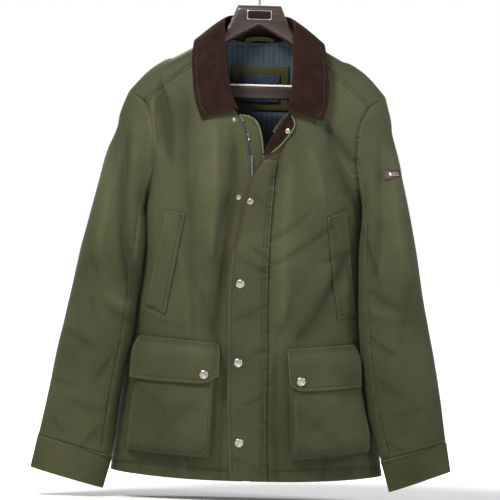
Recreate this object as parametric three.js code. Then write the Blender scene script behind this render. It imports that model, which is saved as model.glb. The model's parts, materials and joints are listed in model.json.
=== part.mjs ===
// A waxed cotton jacket with a corduroy collar, hanging on its wooden hanger.
// Millimetres, +Z up, the front towards -Y, the viewer's right at +X. The origin is inside the crown
// of the hanger's hook. The wearer's right side is at -X.
import * as THREE from 'three';

// Driving dimensions of the hanger
const HOOK_RISE = 60; // hook's inside crown above the hanger's top
const HOOK_RADIUS = 19;
const HOOK_WIRE = 4;
const NECK_HALF_DEPTH = 9;
const ARM_HALF_DEPTH = 12;
const ARM_END = 187;
const ARM_SINK = 2.8; // the arms lie this much below their rows, clear of the cloth on them
const BAR = { top: 140, height: 22, depth: 11, half: 180.3 };
const STRIP = { height: 3, depth: 9, half: 160 };
const PLATE = { drop: 17, width: 43, height: 17, thick: 1.4 };

// Driving dimensions of the cloth
const CLOTH = 1.8; // waxed cotton with its lining layer
const CORDUROY = 2.4;
const THIN = 1.1; // lining, tape and label
const SEAM = 0.3; // air at a seam
const LAID = 0.8; // air under a piece that lies on a panel
const RIDGE_RADIUS = 20; // the shoulder's round over the hanger's arm
const RAMP = 230; // drop over which the chest comes to its full depth
const SHOULDER_TIP = { x: 221, drop: 153 };
const UNDERARM = { x: 190, drop: 345 };
const HEM = { centre: 818, side: 806 };
const SNAP = { radius: 7.75, height: 2.6 };

const COLOURS = {
  waxed: [0x4d5135, 0.62, 0],
  waxedDark: [0x454a30, 0.64, 0],
  corduroy: [0x3a2019, 0.92, 0],
  lining: [0x2c3845, 0.85, 0],
  navy: [0x252d3f, 0.8, 0],
  wood: [0x4a2f27, 0.35, 0],
  metal: [0xc9c9c6, 0.28, 1],
  leather: [0x3b241c, 0.6, 0],
  strip: [0xe6e2da, 0.5, 0],
};

const part = new THREE.Group();

// Every solid is a named mesh of its own
function add(name, geometry, colour) {
  const [hex, roughness, metalness] = COLOURS[colour];
  const material = new THREE.MeshStandardMaterial({ color: hex, roughness, metalness });
  const mesh = new THREE.Mesh(geometry, material);
  mesh.name = name;
  part.add(mesh);
  return mesh;
}

const clamp = (value, low, high) => Math.min(high, Math.max(low, value));
const mix = (a, b, t) => a + (b - a) * t;

// Smooth curve through one column of a table, without overshoot
function column(rows, at, name) {
  const n = rows.length;
  const slope = rows.map((row, i) => {
    const next = rows[Math.min(i + 1, n - 1)];
    const last = rows[Math.max(i - 1, 0)];
    if (i > 0 && i < n - 1) {
      const before = (row[name] - last[name]) / (row[at] - last[at]);
      const after = (next[name] - row[name]) / (next[at] - row[at]);
      return before * after <= 0 ? 0 : (2 * before * after) / (before + after);
    }
    return (next[name] - last[name]) / (next[at] - last[at]);
  });
  return (value) => {
    const t = clamp(value, rows[0][at], rows[n - 1][at]);
    let i = 0;
    while (i < n - 2 && t > rows[i + 1][at]) i += 1;
    const width = rows[i + 1][at] - rows[i][at];
    const f = (t - rows[i][at]) / width;
    const g = 1 - f;
    return rows[i][name] * g * g * (1 + 2 * f) + rows[i + 1][name] * f * f * (3 - 2 * f)
      + width * f * g * (slope[i] * g - slope[i + 1] * f);
  };
}

// Curves through all the columns of a table
function columns(rows, at) {
  const names = Object.keys(rows[0]).filter((name) => name !== at);
  return Object.fromEntries(names.map((name) => [name, column(rows, at, name)]));
}

// The shoulder line over the hanger's arms: drop below the hanger's top, by distance from the middle
const RIDGE_ROWS = [
  { x: 0, drop: 34 },
  { x: 40, drop: 36 },
  { x: 72, drop: 47 },
  { x: 115, drop: 74 },
  { x: 143, drop: 89 },
  { x: 170, drop: 103 },
  { x: 191, drop: 117 },
  { x: 208, drop: 131 },
  { x: 221, drop: 153 },
  { x: 245, drop: 172 },
];
const ridge = column(RIDGE_ROWS, 'x', 'drop');

// Body sections: half-widths on the wearer's right and left, and depths of front and back
const BODY_ROWS = [
  { drop: 30, right: 234, left: 234, front: 64, back: 56 },
  { drop: 150, right: 231, left: 231, front: 78, back: 66 },
  { drop: 200, right: 214, left: 214, front: 84, back: 74 },
  { drop: 250, right: 202, left: 203, front: 88, back: 80 },
  { drop: 300, right: 195, left: 195, front: 92, back: 84 },
  { drop: 345, right: 190, left: 190, front: 94, back: 87 },
  { drop: 430, right: 191, left: 188, front: 95, back: 88 },
  { drop: 480, right: 196, left: 189, front: 95, back: 87 },
  { drop: 540, right: 203, left: 191, front: 95, back: 86 },
  { drop: 600, right: 212, left: 197, front: 95, back: 84 },
  { drop: 660, right: 222, left: 206, front: 95, back: 82 },
  { drop: 720, right: 229, left: 217, front: 95, back: 79 },
  { drop: 764, right: 233, left: 226, front: 94, back: 76 },
  { drop: 835, right: 239, left: 236, front: 93, back: 70 },
];
const SQUARENESS = 2.45;
const halfRight = column(BODY_ROWS, 'drop', 'right');
const halfLeft = column(BODY_ROWS, 'drop', 'left');
const frontDepth = column(BODY_ROWS, 'drop', 'front');
const backDepth = column(BODY_ROWS, 'drop', 'back');
const half = (side, drop) => (side < 0 ? halfRight(drop) : halfLeft(drop));

// The largest folds, as ridges (rise over 0) and troughs along a line, on the front (1) or back (-1)
const FOLDS = [
  { face: 1, x0: -82, d0: 250, x1: -88, d1: 800, width: 34, rise: 9 },
  { face: 1, x0: -46, d0: 230, x1: -54, d1: 600, width: 22, rise: -7 },
  { face: 1, x0: -140, d0: 170, x1: -130, d1: 420, width: 26, rise: -6 },
  { face: 1, x0: 120, d0: 225, x1: 165, d1: 340, width: 22, rise: -7 },
  { face: 1, x0: 84, d0: 240, x1: 96, d1: 560, width: 34, rise: 6 },
  { face: 1, x0: 132, d0: 560, x1: 140, d1: 800, width: 26, rise: 5 },
  { face: 1, x0: -160, d0: 660, x1: -168, d1: 800, width: 24, rise: -5 },
  { face: -1, x0: -70, d0: 260, x1: -84, d1: 790, width: 30, rise: 8 },
  { face: -1, x0: 22, d0: 300, x1: 12, d1: 800, width: 24, rise: -7 },
  { face: -1, x0: 92, d0: 240, x1: 108, d1: 760, width: 30, rise: 7 },
  { face: -1, x0: -150, d0: 200, x1: -128, d1: 460, width: 20, rise: -7 },
  { face: -1, x0: 150, d0: 215, x1: 134, d1: 420, width: 20, rise: -6 },
];

// How far the folds lift the cloth at a place
function foldRise(folds, face, x, drop) {
  let sum = 0;
  for (const fold of folds.filter((row) => row.face === face)) {
    const dx = fold.x1 - fold.x0;
    const dd = fold.d1 - fold.d0;
    const length = Math.hypot(dx, dd);
    const along = ((x - fold.x0) * dx + (drop - fold.d0) * dd) / length;
    const across = ((x - fold.x0) * dd - (drop - fold.d0) * dx) / length;
    const fade = Math.min(60, length / 2);
    const past = Math.max(fade - along, along - length + fade, 0) / fade;
    const ends = (1 - past / 2) ** 2 * (1 + past);
    if (past < 2) sum += fold.rise * Math.exp(-((across / fold.width) ** 2)) * ends;
  }
  return sum;
}

// Depth of the body at a drop below the shoulder line: a round over the arm, then a ramp to the chest
function shoulderDepth(fall, full) {
  const round = RIDGE_RADIUS * Math.sqrt(1 - (1 - clamp(fall / RIDGE_RADIUS, 0, 1)) ** 2);
  return round + (full - RIDGE_RADIUS) * (1 - (1 - clamp(fall / RAMP, 0, 1)) ** 2.2);
}

// Run of cloth down from the shoulder line, for a fall below it, and back
const QUARTER = (RIDGE_RADIUS * Math.PI) / 2;
const runOf = (fall) => (fall < RIDGE_RADIUS
  ? RIDGE_RADIUS * Math.acos(1 - Math.max(fall, 0) / RIDGE_RADIUS)
  : QUARTER + fall - RIDGE_RADIUS);
const fallOf = (run) => (run < QUARTER
  ? RIDGE_RADIUS * (1 - Math.cos(run / RIDGE_RADIUS))
  : run - QUARTER + RIDGE_RADIUS);

const place = (x, y, drop) => new THREE.Vector3(x, y, -(HOOK_RISE + drop));
const dropOf = (point) => -(point.z + HOOK_RISE);

// A point of the body's outer skin, by its turn from the middle (a right angle at the side seam) and
// its run below the shoulder line, on the front (1) or back (-1). It runs on past both seams.
function skin(face, turn, run) {
  if (run < 0) return skin(-face, turn, -run);
  if (Math.abs(turn) > Math.PI / 2) return skin(-face, Math.sign(turn) * Math.PI - turn, run);
  const side = turn < 0 ? -1 : 1;
  const reach = Math.abs(Math.sin(turn)) ** (2 / SQUARENESS);
  const fall = fallOf(run);
  let x = 0;
  let drop = fall;
  for (let pass = 0; pass < 6; pass += 1) {
    drop = ridge(x) + fall;
    x = half(side, drop) * reach;
  }
  const full = face > 0 ? frontDepth(drop) : backDepth(drop);
  const cosine = Math.max(Math.cos(turn), 0) ** (2 / SQUARENESS);
  const lift = foldRise(FOLDS, face, side * x, drop) * Math.min(1, cosine * 1.6);
  return place(side * x, -face * (shoulderDepth(fall, full) * cosine + lift), drop);
}

// Turn and run of a place given as seen from the front
function coords(x, drop, face = 1) {
  const side = x < 0 ? -1 : 1;
  const share = clamp(Math.abs(x) / half(side, drop), 0, 1);
  return { turn: side * Math.asin(share ** (SQUARENESS / 2)), run: face * runOf(drop - ridge(Math.abs(x))) };
}

function bodyNormal(face, turn, run) {
  const step = 0.03;
  const across = skin(face, turn + step, run).sub(skin(face, turn - step, run));
  const down = skin(face, turn, run + 3).sub(skin(face, turn, run - 3));
  const normal = across.cross(down).multiplyScalar(-face).normalize();
  return normal;
}

// A place on the front or back panel, seen from the front, moved out by an offset
function onBody(x, drop, offset, face = 1) {
  const { turn, run } = coords(x, drop);
  return skin(face, turn, run).addScaledVector(bodyNormal(face, turn, run), offset);
}

// A closed wall between two grids of points, the outer one first, open or closed around its rows
function wall(outer, inner, ring = false) {
  const rows = outer.length;
  const cols = outer[0].length;
  const points = [...outer.flat(), ...inner.flat()];
  const index = [];
  const outerAt = (i, j) => i * cols + (j % cols);
  const innerAt = (i, j) => rows * cols + outerAt(i, j);
  const quad = (a, b, c, d) => index.push(a, b, c, a, c, d);
  const spans = ring ? cols : cols - 1;
  for (let i = 0; i < rows - 1; i += 1) {
    for (let j = 0; j < spans; j += 1) {
      quad(outerAt(i, j), outerAt(i, j + 1), outerAt(i + 1, j + 1), outerAt(i + 1, j));
      quad(innerAt(i, j), innerAt(i + 1, j), innerAt(i + 1, j + 1), innerAt(i, j + 1));
    }
    if (!ring) {
      quad(outerAt(i, 0), outerAt(i + 1, 0), innerAt(i + 1, 0), innerAt(i, 0));
      quad(outerAt(i, cols - 1), innerAt(i, cols - 1), innerAt(i + 1, cols - 1), outerAt(i + 1, cols - 1));
    }
  }
  for (let j = 0; j < spans; j += 1) {
    quad(outerAt(0, j), innerAt(0, j), innerAt(0, j + 1), outerAt(0, j + 1));
    quad(outerAt(rows - 1, j), outerAt(rows - 1, j + 1), innerAt(rows - 1, j + 1), innerAt(rows - 1, j));
  }
  const geometry = new THREE.BufferGeometry();
  geometry.setAttribute('position', new THREE.Float32BufferAttribute(points.flatMap((p) => p.toArray()), 3));
  geometry.setIndex(index);
  if (volume(geometry) < 0) {
    for (let k = 0; k < index.length; k += 3) [index[k], index[k + 1]] = [index[k + 1], index[k]];
    geometry.setIndex(index);
  }
  geometry.computeVertexNormals();
  return geometry;
}

// Signed volume, to tell which way the faces point
function volume(geometry) {
  const at = geometry.getAttribute('position');
  const index = geometry.getIndex();
  const [a, b, c] = [new THREE.Vector3(), new THREE.Vector3(), new THREE.Vector3()];
  let sum = 0;
  for (let k = 0; k < index.count; k += 3) {
    a.fromBufferAttribute(at, index.getX(k));
    b.fromBufferAttribute(at, index.getX(k + 1));
    c.fromBufferAttribute(at, index.getX(k + 2));
    sum += a.dot(b.cross(c)) / 6;
  }
  return sum;
}

// A grid of points worked out by a function of two fractions
function grid(rows, cols, at) {
  const make = (i) => Array.from({ length: cols + 1 }, (_, j) => at(i / rows, j / cols));
  return Array.from({ length: rows + 1 }, (_, i) => make(i));
}

// Turn and run inside four edges, each a function of a fraction. Rows lie by v at the sides and by s
// between them.
function between(edges, v, u, s = v) {
  const { bottom, top, first, last } = edges;
  const blend = (key) => {
    const low = mix(first(0)[key], last(0)[key], u);
    const high = mix(first(1)[key], last(1)[key], u);
    return mix(bottom(u)[key], top(u)[key], s) + mix(first(v)[key], last(v)[key], u) - mix(low, high, s);
  };
  return { turn: blend('turn'), run: blend('run') };
}

// Outer and inner skins of a panel, from a grid of turns and runs
function panelSkins(face, places) {
  const outer = places.map((line) => line.map(({ turn, run }) => skin(face, turn, run)));
  const inner = places.map((line, i) => line.map(({ turn, run }, j) => {
    const normal = bodyNormal(face, turn, run);
    return outer[i][j].clone().addScaledVector(normal, -CLOTH);
  }));
  return [outer, inner];
}

// Edges as seen from the front, for the wearer's right; the row column says where on the patch's side
const PANEL_ROWS = 22;
const FRONT_COLS = 12;
const SEAM_COLS = 8; // columns of the back along one forward seam
const FRONT_EDGE_ROWS = [
  { row: 0, x: 8, drop: HEM.centre },
  { row: 14, x: 8, drop: 300 },
  { row: 15, x: 10, drop: 262 },
  { row: 16, x: 17, drop: 226 },
  { row: 17, x: 33, drop: 187 },
];
const NECKLINE_ROWS = [
  { row: 17, x: 33, drop: 187 },
  { row: 18, x: 51, drop: 168 },
  { row: 19, x: 61, drop: 138 },
  { row: 20, x: 67, drop: 110 },
  { row: 21, x: 72, drop: 84 },
  { row: 22, x: 75, drop: ridge(75) + 19 },
];
// The wearer's left front stands further open at the neck
const LEFT_OPEN_ROWS = [
  { row: 0, more: -3 },
  { row: 14, more: -2 },
  { row: 15, more: 5 },
  { row: 16, more: 12 },
  { row: 17, more: 20 },
  { row: 18, more: 13 },
  { row: 19, more: 8 },
  { row: 20, more: 5 },
  { row: 22, more: 0 },
];
const ARMHOLE_FRONT_ROWS = [
  { row: 12, x: UNDERARM.x, drop: UNDERARM.drop },
  { row: 13, x: 184, drop: 330 },
  { row: 14.5, x: 178, drop: 304 },
  { row: 16, x: 176, drop: 277 },
  { row: 18, x: 175, drop: 240 },
  { row: 19.5, x: 177, drop: 212 },
  { row: 21, x: 185, drop: 188 },
  { row: 22, x: 194, drop: ridge(194) + 52 },
];
const ARMHOLE_TIP_ROWS = [
  { row: 22, x: 194, drop: ridge(194) + 52 },
  { row: 23, x: 208, drop: 160 },
  { row: 24, x: SHOULDER_TIP.x, drop: SHOULDER_TIP.drop },
];
const FORWARD_SEAM_ROWS = [
  { x: 75, fall: 19 },
  { x: 114, fall: 33 },
  { x: 142, fall: 38 },
  { x: 166, fall: 43 },
  { x: 194, fall: 52 },
];

const edgeX = (rows) => column(rows, 'row', 'x');
const edgeDrop = (rows) => column(rows, 'row', 'drop');
const frontEdgeX = edgeX(FRONT_EDGE_ROWS);
const frontEdgeDrop = edgeDrop(FRONT_EDGE_ROWS);
const neckX = edgeX(NECKLINE_ROWS);
const neckDrop = edgeDrop(NECKLINE_ROWS);
const leftOpen = column(LEFT_OPEN_ROWS, 'row', 'more');
const armX = edgeX(ARMHOLE_FRONT_ROWS);
const armDrop = edgeDrop(ARMHOLE_FRONT_ROWS);
const tipX = edgeX(ARMHOLE_TIP_ROWS);
const tipDrop = edgeDrop(ARMHOLE_TIP_ROWS);
const seamFall = column(FORWARD_SEAM_ROWS, 'x', 'fall');
const SEAM_ROWS = { neckline: 17, underarm: 12, top: 22, tip: 24 };

// The side seam leaves the gap between front and back, as a turn short of the right angle
const SIDE_TURN = Math.PI / 2 - 0.0012;

// Place on the hem at a turn from the middle
function hemPlace(turn) {
  const drop = mix(HEM.centre, HEM.side, Math.sin(turn) ** 2);
  const x = half(Math.sign(turn), drop) * Math.abs(Math.sin(turn)) ** (2 / SQUARENESS);
  return { turn, run: runOf(drop - ridge(x)) };
}

function frontEdge(side, row) {
  const high = row > SEAM_ROWS.neckline;
  const x = (high ? neckX : frontEdgeX)(row) + (side > 0 ? leftOpen(row) : 0);
  const gap = row === SEAM_ROWS.top ? SEAM : 0;
  return coords(side * x, (high ? neckDrop : frontEdgeDrop)(row) + gap);
}

function sideEdge(side, row) {
  if (row > SEAM_ROWS.underarm) {
    return coords(side * armX(row), armDrop(row) + (row === SEAM_ROWS.top ? SEAM : 0));
  }
  const share = row / SEAM_ROWS.underarm;
  const drop = mix(HEM.side, UNDERARM.drop, share);
  return { turn: side * SIDE_TURN, run: coords(side * half(side, drop), drop).run };
}

function forwardSeam(side, x, gap) {
  return coords(side * x, ridge(x) + seamFall(x) + gap);
}

const frontSkins = [];
for (const [name, side] of [['front_right', -1], ['front_left', 1]]) {
  const hem = (u) => {
    const from = frontEdge(side, 0);
    return hemPlace(mix(from.turn, side * SIDE_TURN, u));
  };
  const edges = {
    bottom: hem,
    top: (u) => {
      const x = mix(neckX(SEAM_ROWS.top), armX(SEAM_ROWS.top), u);
      return forwardSeam(side, x, SEAM);
    },
    first: (v) => frontEdge(side, v * PANEL_ROWS),
    last: (v) => sideEdge(side, v * PANEL_ROWS),
  };
  const places = grid(PANEL_ROWS, FRONT_COLS, (v, u) => between(edges, v, u));
  const skins = panelSkins(1, places);
  // the top edge is straight between the columns of the back, which it is sewn to
  const seam = panelSkins(1, [Array.from({ length: SEAM_COLS + 1 }, (_, k) => edges.top(k / SEAM_COLS))]);
  skins.forEach((lines, skinNumber) => {
    lines[PANEL_ROWS] = lines[PANEL_ROWS].map((_, j) => {
      const at = (j * SEAM_COLS) / FRONT_COLS;
      const low = Math.min(Math.floor(at), SEAM_COLS - 1);
      return seam[skinNumber][0][low].clone().lerp(seam[skinNumber][0][low + 1], at - low);
    });
  });
  frontSkins.push(skins[0]);
  add(name, wall(...skins), 'waxed');
}

// The back goes over the shoulders to the forward seams, so its runs past the shoulder line are negative
const BACK_ROWS = 26;
const BACK_NECK_ROWS = [
  { share: 0, x: 75, run: -30 },
  { share: 0.25, x: 76, run: -8 },
  { share: 0.45, x: 70, run: 14 },
  { share: 0.7, x: 44, run: 36 },
  { share: 1, x: 0, run: 44 },
];
const backNeckX = column(BACK_NECK_ROWS, 'share', 'x');
const backNeckRun = column(BACK_NECK_ROWS, 'share', 'run');
const NECK_SHARE = 1 / 3; // part of the half top edge that is neckline
const BACK_COLS = 24;
const CREST_BELOW_NECK = 58;

function backTop(u) {
  const side = u < 0.5 ? -1 : 1;
  const share = 1 - Math.abs(u - 0.5) * 2; // nought at the armhole, one at the middle
  if (share < 1 - NECK_SHARE) {
    const x = mix(armX(SEAM_ROWS.top), neckX(SEAM_ROWS.top), share / (1 - NECK_SHARE));
    const at = forwardSeam(side, x, -SEAM);
    return { turn: at.turn, run: -at.run };
  }
  const along = (share - 1 + NECK_SHARE) / NECK_SHARE;
  const x = backNeckX(along);
  const corner = neckX(SEAM_ROWS.top);
  const start = -coords(corner, ridge(corner) + seamFall(corner) - SEAM).run;
  const run = along < 0.01 ? start : Math.max(backNeckRun(along), start);
  return { turn: coords(side * x, ridge(x) + 1).turn, run };
}

function backSide(side, row) {
  const armRows = SEAM_ROWS.tip - SEAM_ROWS.underarm;
  if (row <= SEAM_ROWS.underarm) {
    return sideEdge(side, row);
  }
  if (row <= SEAM_ROWS.tip) {
    // up the back armhole, as the front one but to the tip
    const along = (row - SEAM_ROWS.underarm) / armRows;
    const at = SEAM_ROWS.underarm + along * armRows;
    const high = at > SEAM_ROWS.top;
    const x = (high ? tipX : armX)(at);
    return coords(side * x, (high ? tipDrop : armDrop)(at));
  }
  const down = mix(SEAM_ROWS.tip, SEAM_ROWS.top, (row - SEAM_ROWS.tip) / (BACK_ROWS - SEAM_ROWS.tip));
  const at = coords(side * tipX(down), tipDrop(down) - (row === BACK_ROWS ? SEAM : 0));
  return { turn: at.turn, run: -at.run };
}

// The line where the back crosses the shoulders, and below the neckline between them
function backCrest(u) {
  const side = u < 0.5 ? -1 : 1;
  const share = 1 - Math.abs(u - 0.5) * 2;
  const along = Math.max(0, (share - 1 + NECK_SHARE) / NECK_SHARE);
  const x = along > 0
    ? backNeckX(along)
    : mix(armX(SEAM_ROWS.top), neckX(SEAM_ROWS.top), share / (1 - NECK_SHARE));
  const tip = clamp(1 - share * 6, 0, 1);
  const wide = mix(x, SHOULDER_TIP.x, tip ** 2);
  return {
    turn: coords(side * wide, ridge(wide)).turn,
    run: CREST_BELOW_NECK * Math.sin((along * Math.PI) / 2),
  };
}

const below = {
  bottom: (u) => hemPlace(mix(-SIDE_TURN, SIDE_TURN, u)),
  top: backCrest,
  first: (v) => backSide(-1, v * SEAM_ROWS.tip),
  last: (v) => backSide(1, v * SEAM_ROWS.tip),
};
const over = {
  bottom: backCrest,
  top: backTop,
  first: (v) => backSide(-1, mix(SEAM_ROWS.tip, BACK_ROWS, v)),
  last: (v) => backSide(1, mix(SEAM_ROWS.tip, BACK_ROWS, v)),
};
const OVER_STEPS = 4;
const backPlaces = [
  ...grid(SEAM_ROWS.tip, BACK_COLS, (v, u) => {
    const inside = 1 - Math.abs(2 * u - 1) ** 6;
    return between(below, v, u, mix(v, 1 - (1 - v) ** 1.32, inside));
  }),
  ...grid(OVER_STEPS, BACK_COLS, (v, u) => between(over, v, u)).slice(1),
];
// the rows just behind the crest follow it closely, so that the cloth is round over the arms
const NEAR_CREST = [74, 51, 32, 15];
NEAR_CREST.forEach((past, k) => {
  const line = backPlaces[SEAM_ROWS.tip - NEAR_CREST.length + k];
  line.forEach((spot, j) => {
    const u = j / BACK_COLS;
    const inside = 1 - Math.abs(2 * u - 1) ** 6;
    const crest = backCrest(u);
    spot.run = mix(spot.run, crest.run + past, inside);
    spot.turn = mix(spot.turn, crest.turn, (inside * (k + 1)) / (NEAR_CREST.length + 1));
  });
});
const backSkins = panelSkins(-1, backPlaces);
// over the tip the armhole's edge is straight between the rows that the sleeve shares
for (const lines of backSkins) {
  for (const row of [SEAM_ROWS.tip + 1, SEAM_ROWS.tip + 3]) {
    for (const end of [0, BACK_COLS]) {
      lines[row][end] = lines[row - 1][end].clone().lerp(lines[row + 1][end], 0.5);
    }
  }
}
add('back', wall(...backSkins), 'waxedDark');

// Sleeves. Each row is a ring across the sleeve: its outer and inner ends as seen from the front, its
// depth from the middle, how far it lies forward, and how much of the armhole's bow it keeps.
const SLEEVE_ROWS = {
  right: [
    { at: 0, outX: 221, outDrop: 153, inX: 190, inDrop: 345, depth: 48, forward: 0, bow: 1 },
    { at: 1, outX: 236, outDrop: 188, inX: 192, inDrop: 349, depth: 52, forward: 0, bow: 0.78 },
    { at: 2, outX: 248, outDrop: 232, inX: 190, inDrop: 355, depth: 55, forward: 2, bow: 0.54 },
    { at: 3, outX: 261, outDrop: 276, inX: 188, inDrop: 365, depth: 56, forward: 8, bow: 0.32 },
    { at: 4, outX: 273, outDrop: 326, inX: 186, inDrop: 382, depth: 56, forward: 16, bow: 0.14 },
    { at: 5, outX: 287, outDrop: 382, inX: 184, inDrop: 412, depth: 55, forward: 26, bow: 0.04 },
    { at: 6, outX: 299, outDrop: 430, inX: 187, inDrop: 454, depth: 53, forward: 34, bow: 0 },
    { at: 7, outX: 313, outDrop: 505, inX: 198, inDrop: 530, depth: 49, forward: 40, bow: 0 },
    { at: 8, outX: 325, outDrop: 563, inX: 204, inDrop: 590, depth: 45, forward: 43, bow: 0 },
    { at: 9, outX: 335, outDrop: 612, inX: 214, inDrop: 640, depth: 40, forward: 45, bow: 0 },
    { at: 10, outX: 343, outDrop: 660, inX: 222, inDrop: 690, depth: 34, forward: 46, bow: 0 },
    { at: 11, outX: 352, outDrop: 705, inX: 227, inDrop: 737, depth: 28, forward: 46, bow: 0 },
    { at: 12, outX: 361, outDrop: 748, inX: 234, inDrop: 781, depth: 23, forward: 46, bow: 0 },
    { at: 13, outX: 373, outDrop: 804, inX: 249, inDrop: 837, depth: 19, forward: 46, bow: 0 },
  ],
  left: [
    { at: 0, outX: 221, outDrop: 153, inX: 190, inDrop: 345, depth: 48, forward: 0, bow: 1 },
    { at: 1, outX: 231, outDrop: 190, inX: 191, inDrop: 349, depth: 52, forward: 0, bow: 0.78 },
    { at: 2, outX: 241, outDrop: 232, inX: 188, inDrop: 355, depth: 55, forward: 2, bow: 0.54 },
    { at: 3, outX: 251, outDrop: 276, inX: 184, inDrop: 365, depth: 56, forward: 8, bow: 0.32 },
    { at: 4, outX: 263, outDrop: 326, inX: 180, inDrop: 380, depth: 56, forward: 16, bow: 0.14 },
    { at: 5, outX: 275, outDrop: 382, inX: 177, inDrop: 407, depth: 55, forward: 26, bow: 0.04 },
    { at: 6, outX: 284, outDrop: 430, inX: 178, inDrop: 452, depth: 53, forward: 34, bow: 0 },
    { at: 7, outX: 296, outDrop: 505, inX: 181, inDrop: 524, depth: 49, forward: 40, bow: 0 },
    { at: 8, outX: 308, outDrop: 563, inX: 186, inDrop: 584, depth: 45, forward: 43, bow: 0 },
    { at: 9, outX: 318, outDrop: 612, inX: 191, inDrop: 634, depth: 40, forward: 45, bow: 0 },
    { at: 10, outX: 327, outDrop: 662, inX: 200, inDrop: 688, depth: 34, forward: 46, bow: 0 },
    { at: 11, outX: 334, outDrop: 705, inX: 211, inDrop: 734, depth: 28, forward: 46, bow: 0 },
    { at: 12, outX: 340, outDrop: 745, inX: 228, inDrop: 778, depth: 23, forward: 46, bow: 0 },
    { at: 13, outX: 348, outDrop: 794, inX: 244, inDrop: 832, depth: 19, forward: 46, bow: 0 },
  ],
};
const AROUND = 24;
const SLEEVE_STEPS = 16;
const CUFF_AT = 12;
const SEAM_AT = 9; // the sleeve seams, as steps round from the outer edge
const SLEEVE_FOLDS = [
  { at: 5.2, turn: 70, width: 0.45, reach: 60, rise: -5 },
  { at: 6.4, turn: 60, width: 0.5, reach: 70, rise: 5 },
  { at: 7.6, turn: 110, width: 0.4, reach: 50, rise: -5 },
  { at: 8.9, turn: 80, width: 0.45, reach: 60, rise: -4 },
  { at: 10.3, turn: 100, width: 0.4, reach: 55, rise: 4 },
  { at: 6, turn: -90, width: 0.45, reach: 60, rise: -5 },
  { at: 7.4, turn: -70, width: 0.45, reach: 60, rise: 5 },
  { at: 9.4, turn: -100, width: 0.4, reach: 60, rise: -4 },
];
const BODY_GAP = 1.2; // air between a hanging sleeve and the body

// The armhole's loop, on the same rows as the edges of the panels round it
function armholeLoop(side) {
  return Array.from({ length: AROUND }, (_, j) => {
    const front = j <= AROUND / 2;
    const row = SEAM_ROWS.tip - (front ? j : AROUND - j);
    const high = row > SEAM_ROWS.top;
    const x = (high ? tipX : armX)(row);
    const drop = (high ? tipDrop : armDrop)(row);
    const face = front ? 1 : -1;
    const at = coords(side * x, drop);
    const edge = skin(face, row === SEAM_ROWS.underarm ? side * SIDE_TURN : at.turn, at.run);
    return { edge, normal: bodyNormal(face, at.turn, at.run) };
  });
}

// A sleeve point is kept outside the body that it hangs beside
function clearOfBody(point, side, gap) {
  const drop = dropOf(point);
  const full = point.y < 0 ? frontDepth(drop) : backDepth(drop);
  const depth = shoulderDepth(drop - ridge(Math.abs(point.x)), full);
  const share = Math.abs(point.y) / Math.max(depth, 1);
  if (share >= 1) return point;
  const edge = half(side, drop) * (1 - share ** SQUARENESS) ** (1 / SQUARENESS) + gap;
  if (Math.abs(point.x) < edge) point.x = side * edge;
  return point;
}

// Points of one sleeve: a function of the row and of the turn round it, in steps from the outer edge
function sleeveSkin(side) {
  const rows = SLEEVE_ROWS[side < 0 ? 'right' : 'left'];
  const table = columns(rows, 'at');
  const loop = armholeLoop(side);
  const tip = new THREE.Vector2(SHOULDER_TIP.x, SHOULDER_TIP.drop);
  const chord = new THREE.Vector2(UNDERARM.x, UNDERARM.drop).sub(tip);
  const parts = loop.map(({ edge }) => {
    const flat = new THREE.Vector2(Math.abs(edge.x), dropOf(edge)).sub(tip);
    const share = clamp(flat.dot(chord) / chord.lengthSq(), 0, 1);
    return { share, off: flat.sub(chord.clone().multiplyScalar(share)), y: edge.y };
  });
  return (at, j) => {
    const k = ((j % AROUND) + AROUND) % AROUND;
    const { share, off, y } = parts[k];
    if (at <= 0) return loop[k].edge.clone();
    const front = k <= AROUND / 2 ? 1 : -1;
    const own = Math.acos(1 - 2 * share);
    const even = ((front > 0 ? k : AROUND - k) * 2 * Math.PI) / AROUND;
    const turn = mix(own, even, clamp(at / 4, 0, 1));
    const value = Object.fromEntries(Object.entries(table).map(([name, curve]) => [name, curve(at)]));
    const along = (1 - Math.cos(turn)) / 2;
    const degrees = (front * turn * 180) / Math.PI;
    let lift = 0;
    for (const fold of SLEEVE_FOLDS) {
      const slant = (degrees - fold.turn) * 0.008;
      const near = (at - fold.at - slant * Math.sign(fold.turn)) / fold.width;
      lift += fold.rise * Math.exp(-(near ** 2) - ((degrees - fold.turn) / fold.reach) ** 2);
    }
    const depth = mix(Math.abs(y), (value.depth + lift) * Math.sin(turn) ** 0.9, clamp(at / 2.5, 0, 1));
    const x = mix(value.outX, value.inX, along) + off.x * value.bow;
    const drop = mix(value.outDrop, value.inDrop, along) + off.y * value.bow;
    return clearOfBody(place(side * x, -front * depth - value.forward, drop), side, BODY_GAP);
  };
}

// Normals of a ring's grid, pointing out of the tube
function ringNormals(rings, side) {
  return rings.map((ring, i) => ring.map((_, j) => {
    const n = ring.length;
    const across = ring[(j + 1) % n].clone().sub(ring[(j - 1 + n) % n]);
    const down = rings[Math.min(i + 1, rings.length - 1)][j].clone().sub(rings[Math.max(i - 1, 0)][j]);
    return across.cross(down).multiplyScalar(side).normalize();
  }));
}

// Part of a ring between two steps that may lie between its points
function arc(ring, from, to) {
  const n = ring.length;
  const at = (j) => {
    const low = Math.floor(j);
    return ring[((low % n) + n) % n].clone().lerp(ring[(((low + 1) % n) + n) % n], j - low);
  };
  const inside = [];
  for (let j = Math.ceil(from + 0.01); j < to - 0.01; j += 1) inside.push(j);
  return [from, ...inside, to].map(at);
}

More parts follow.
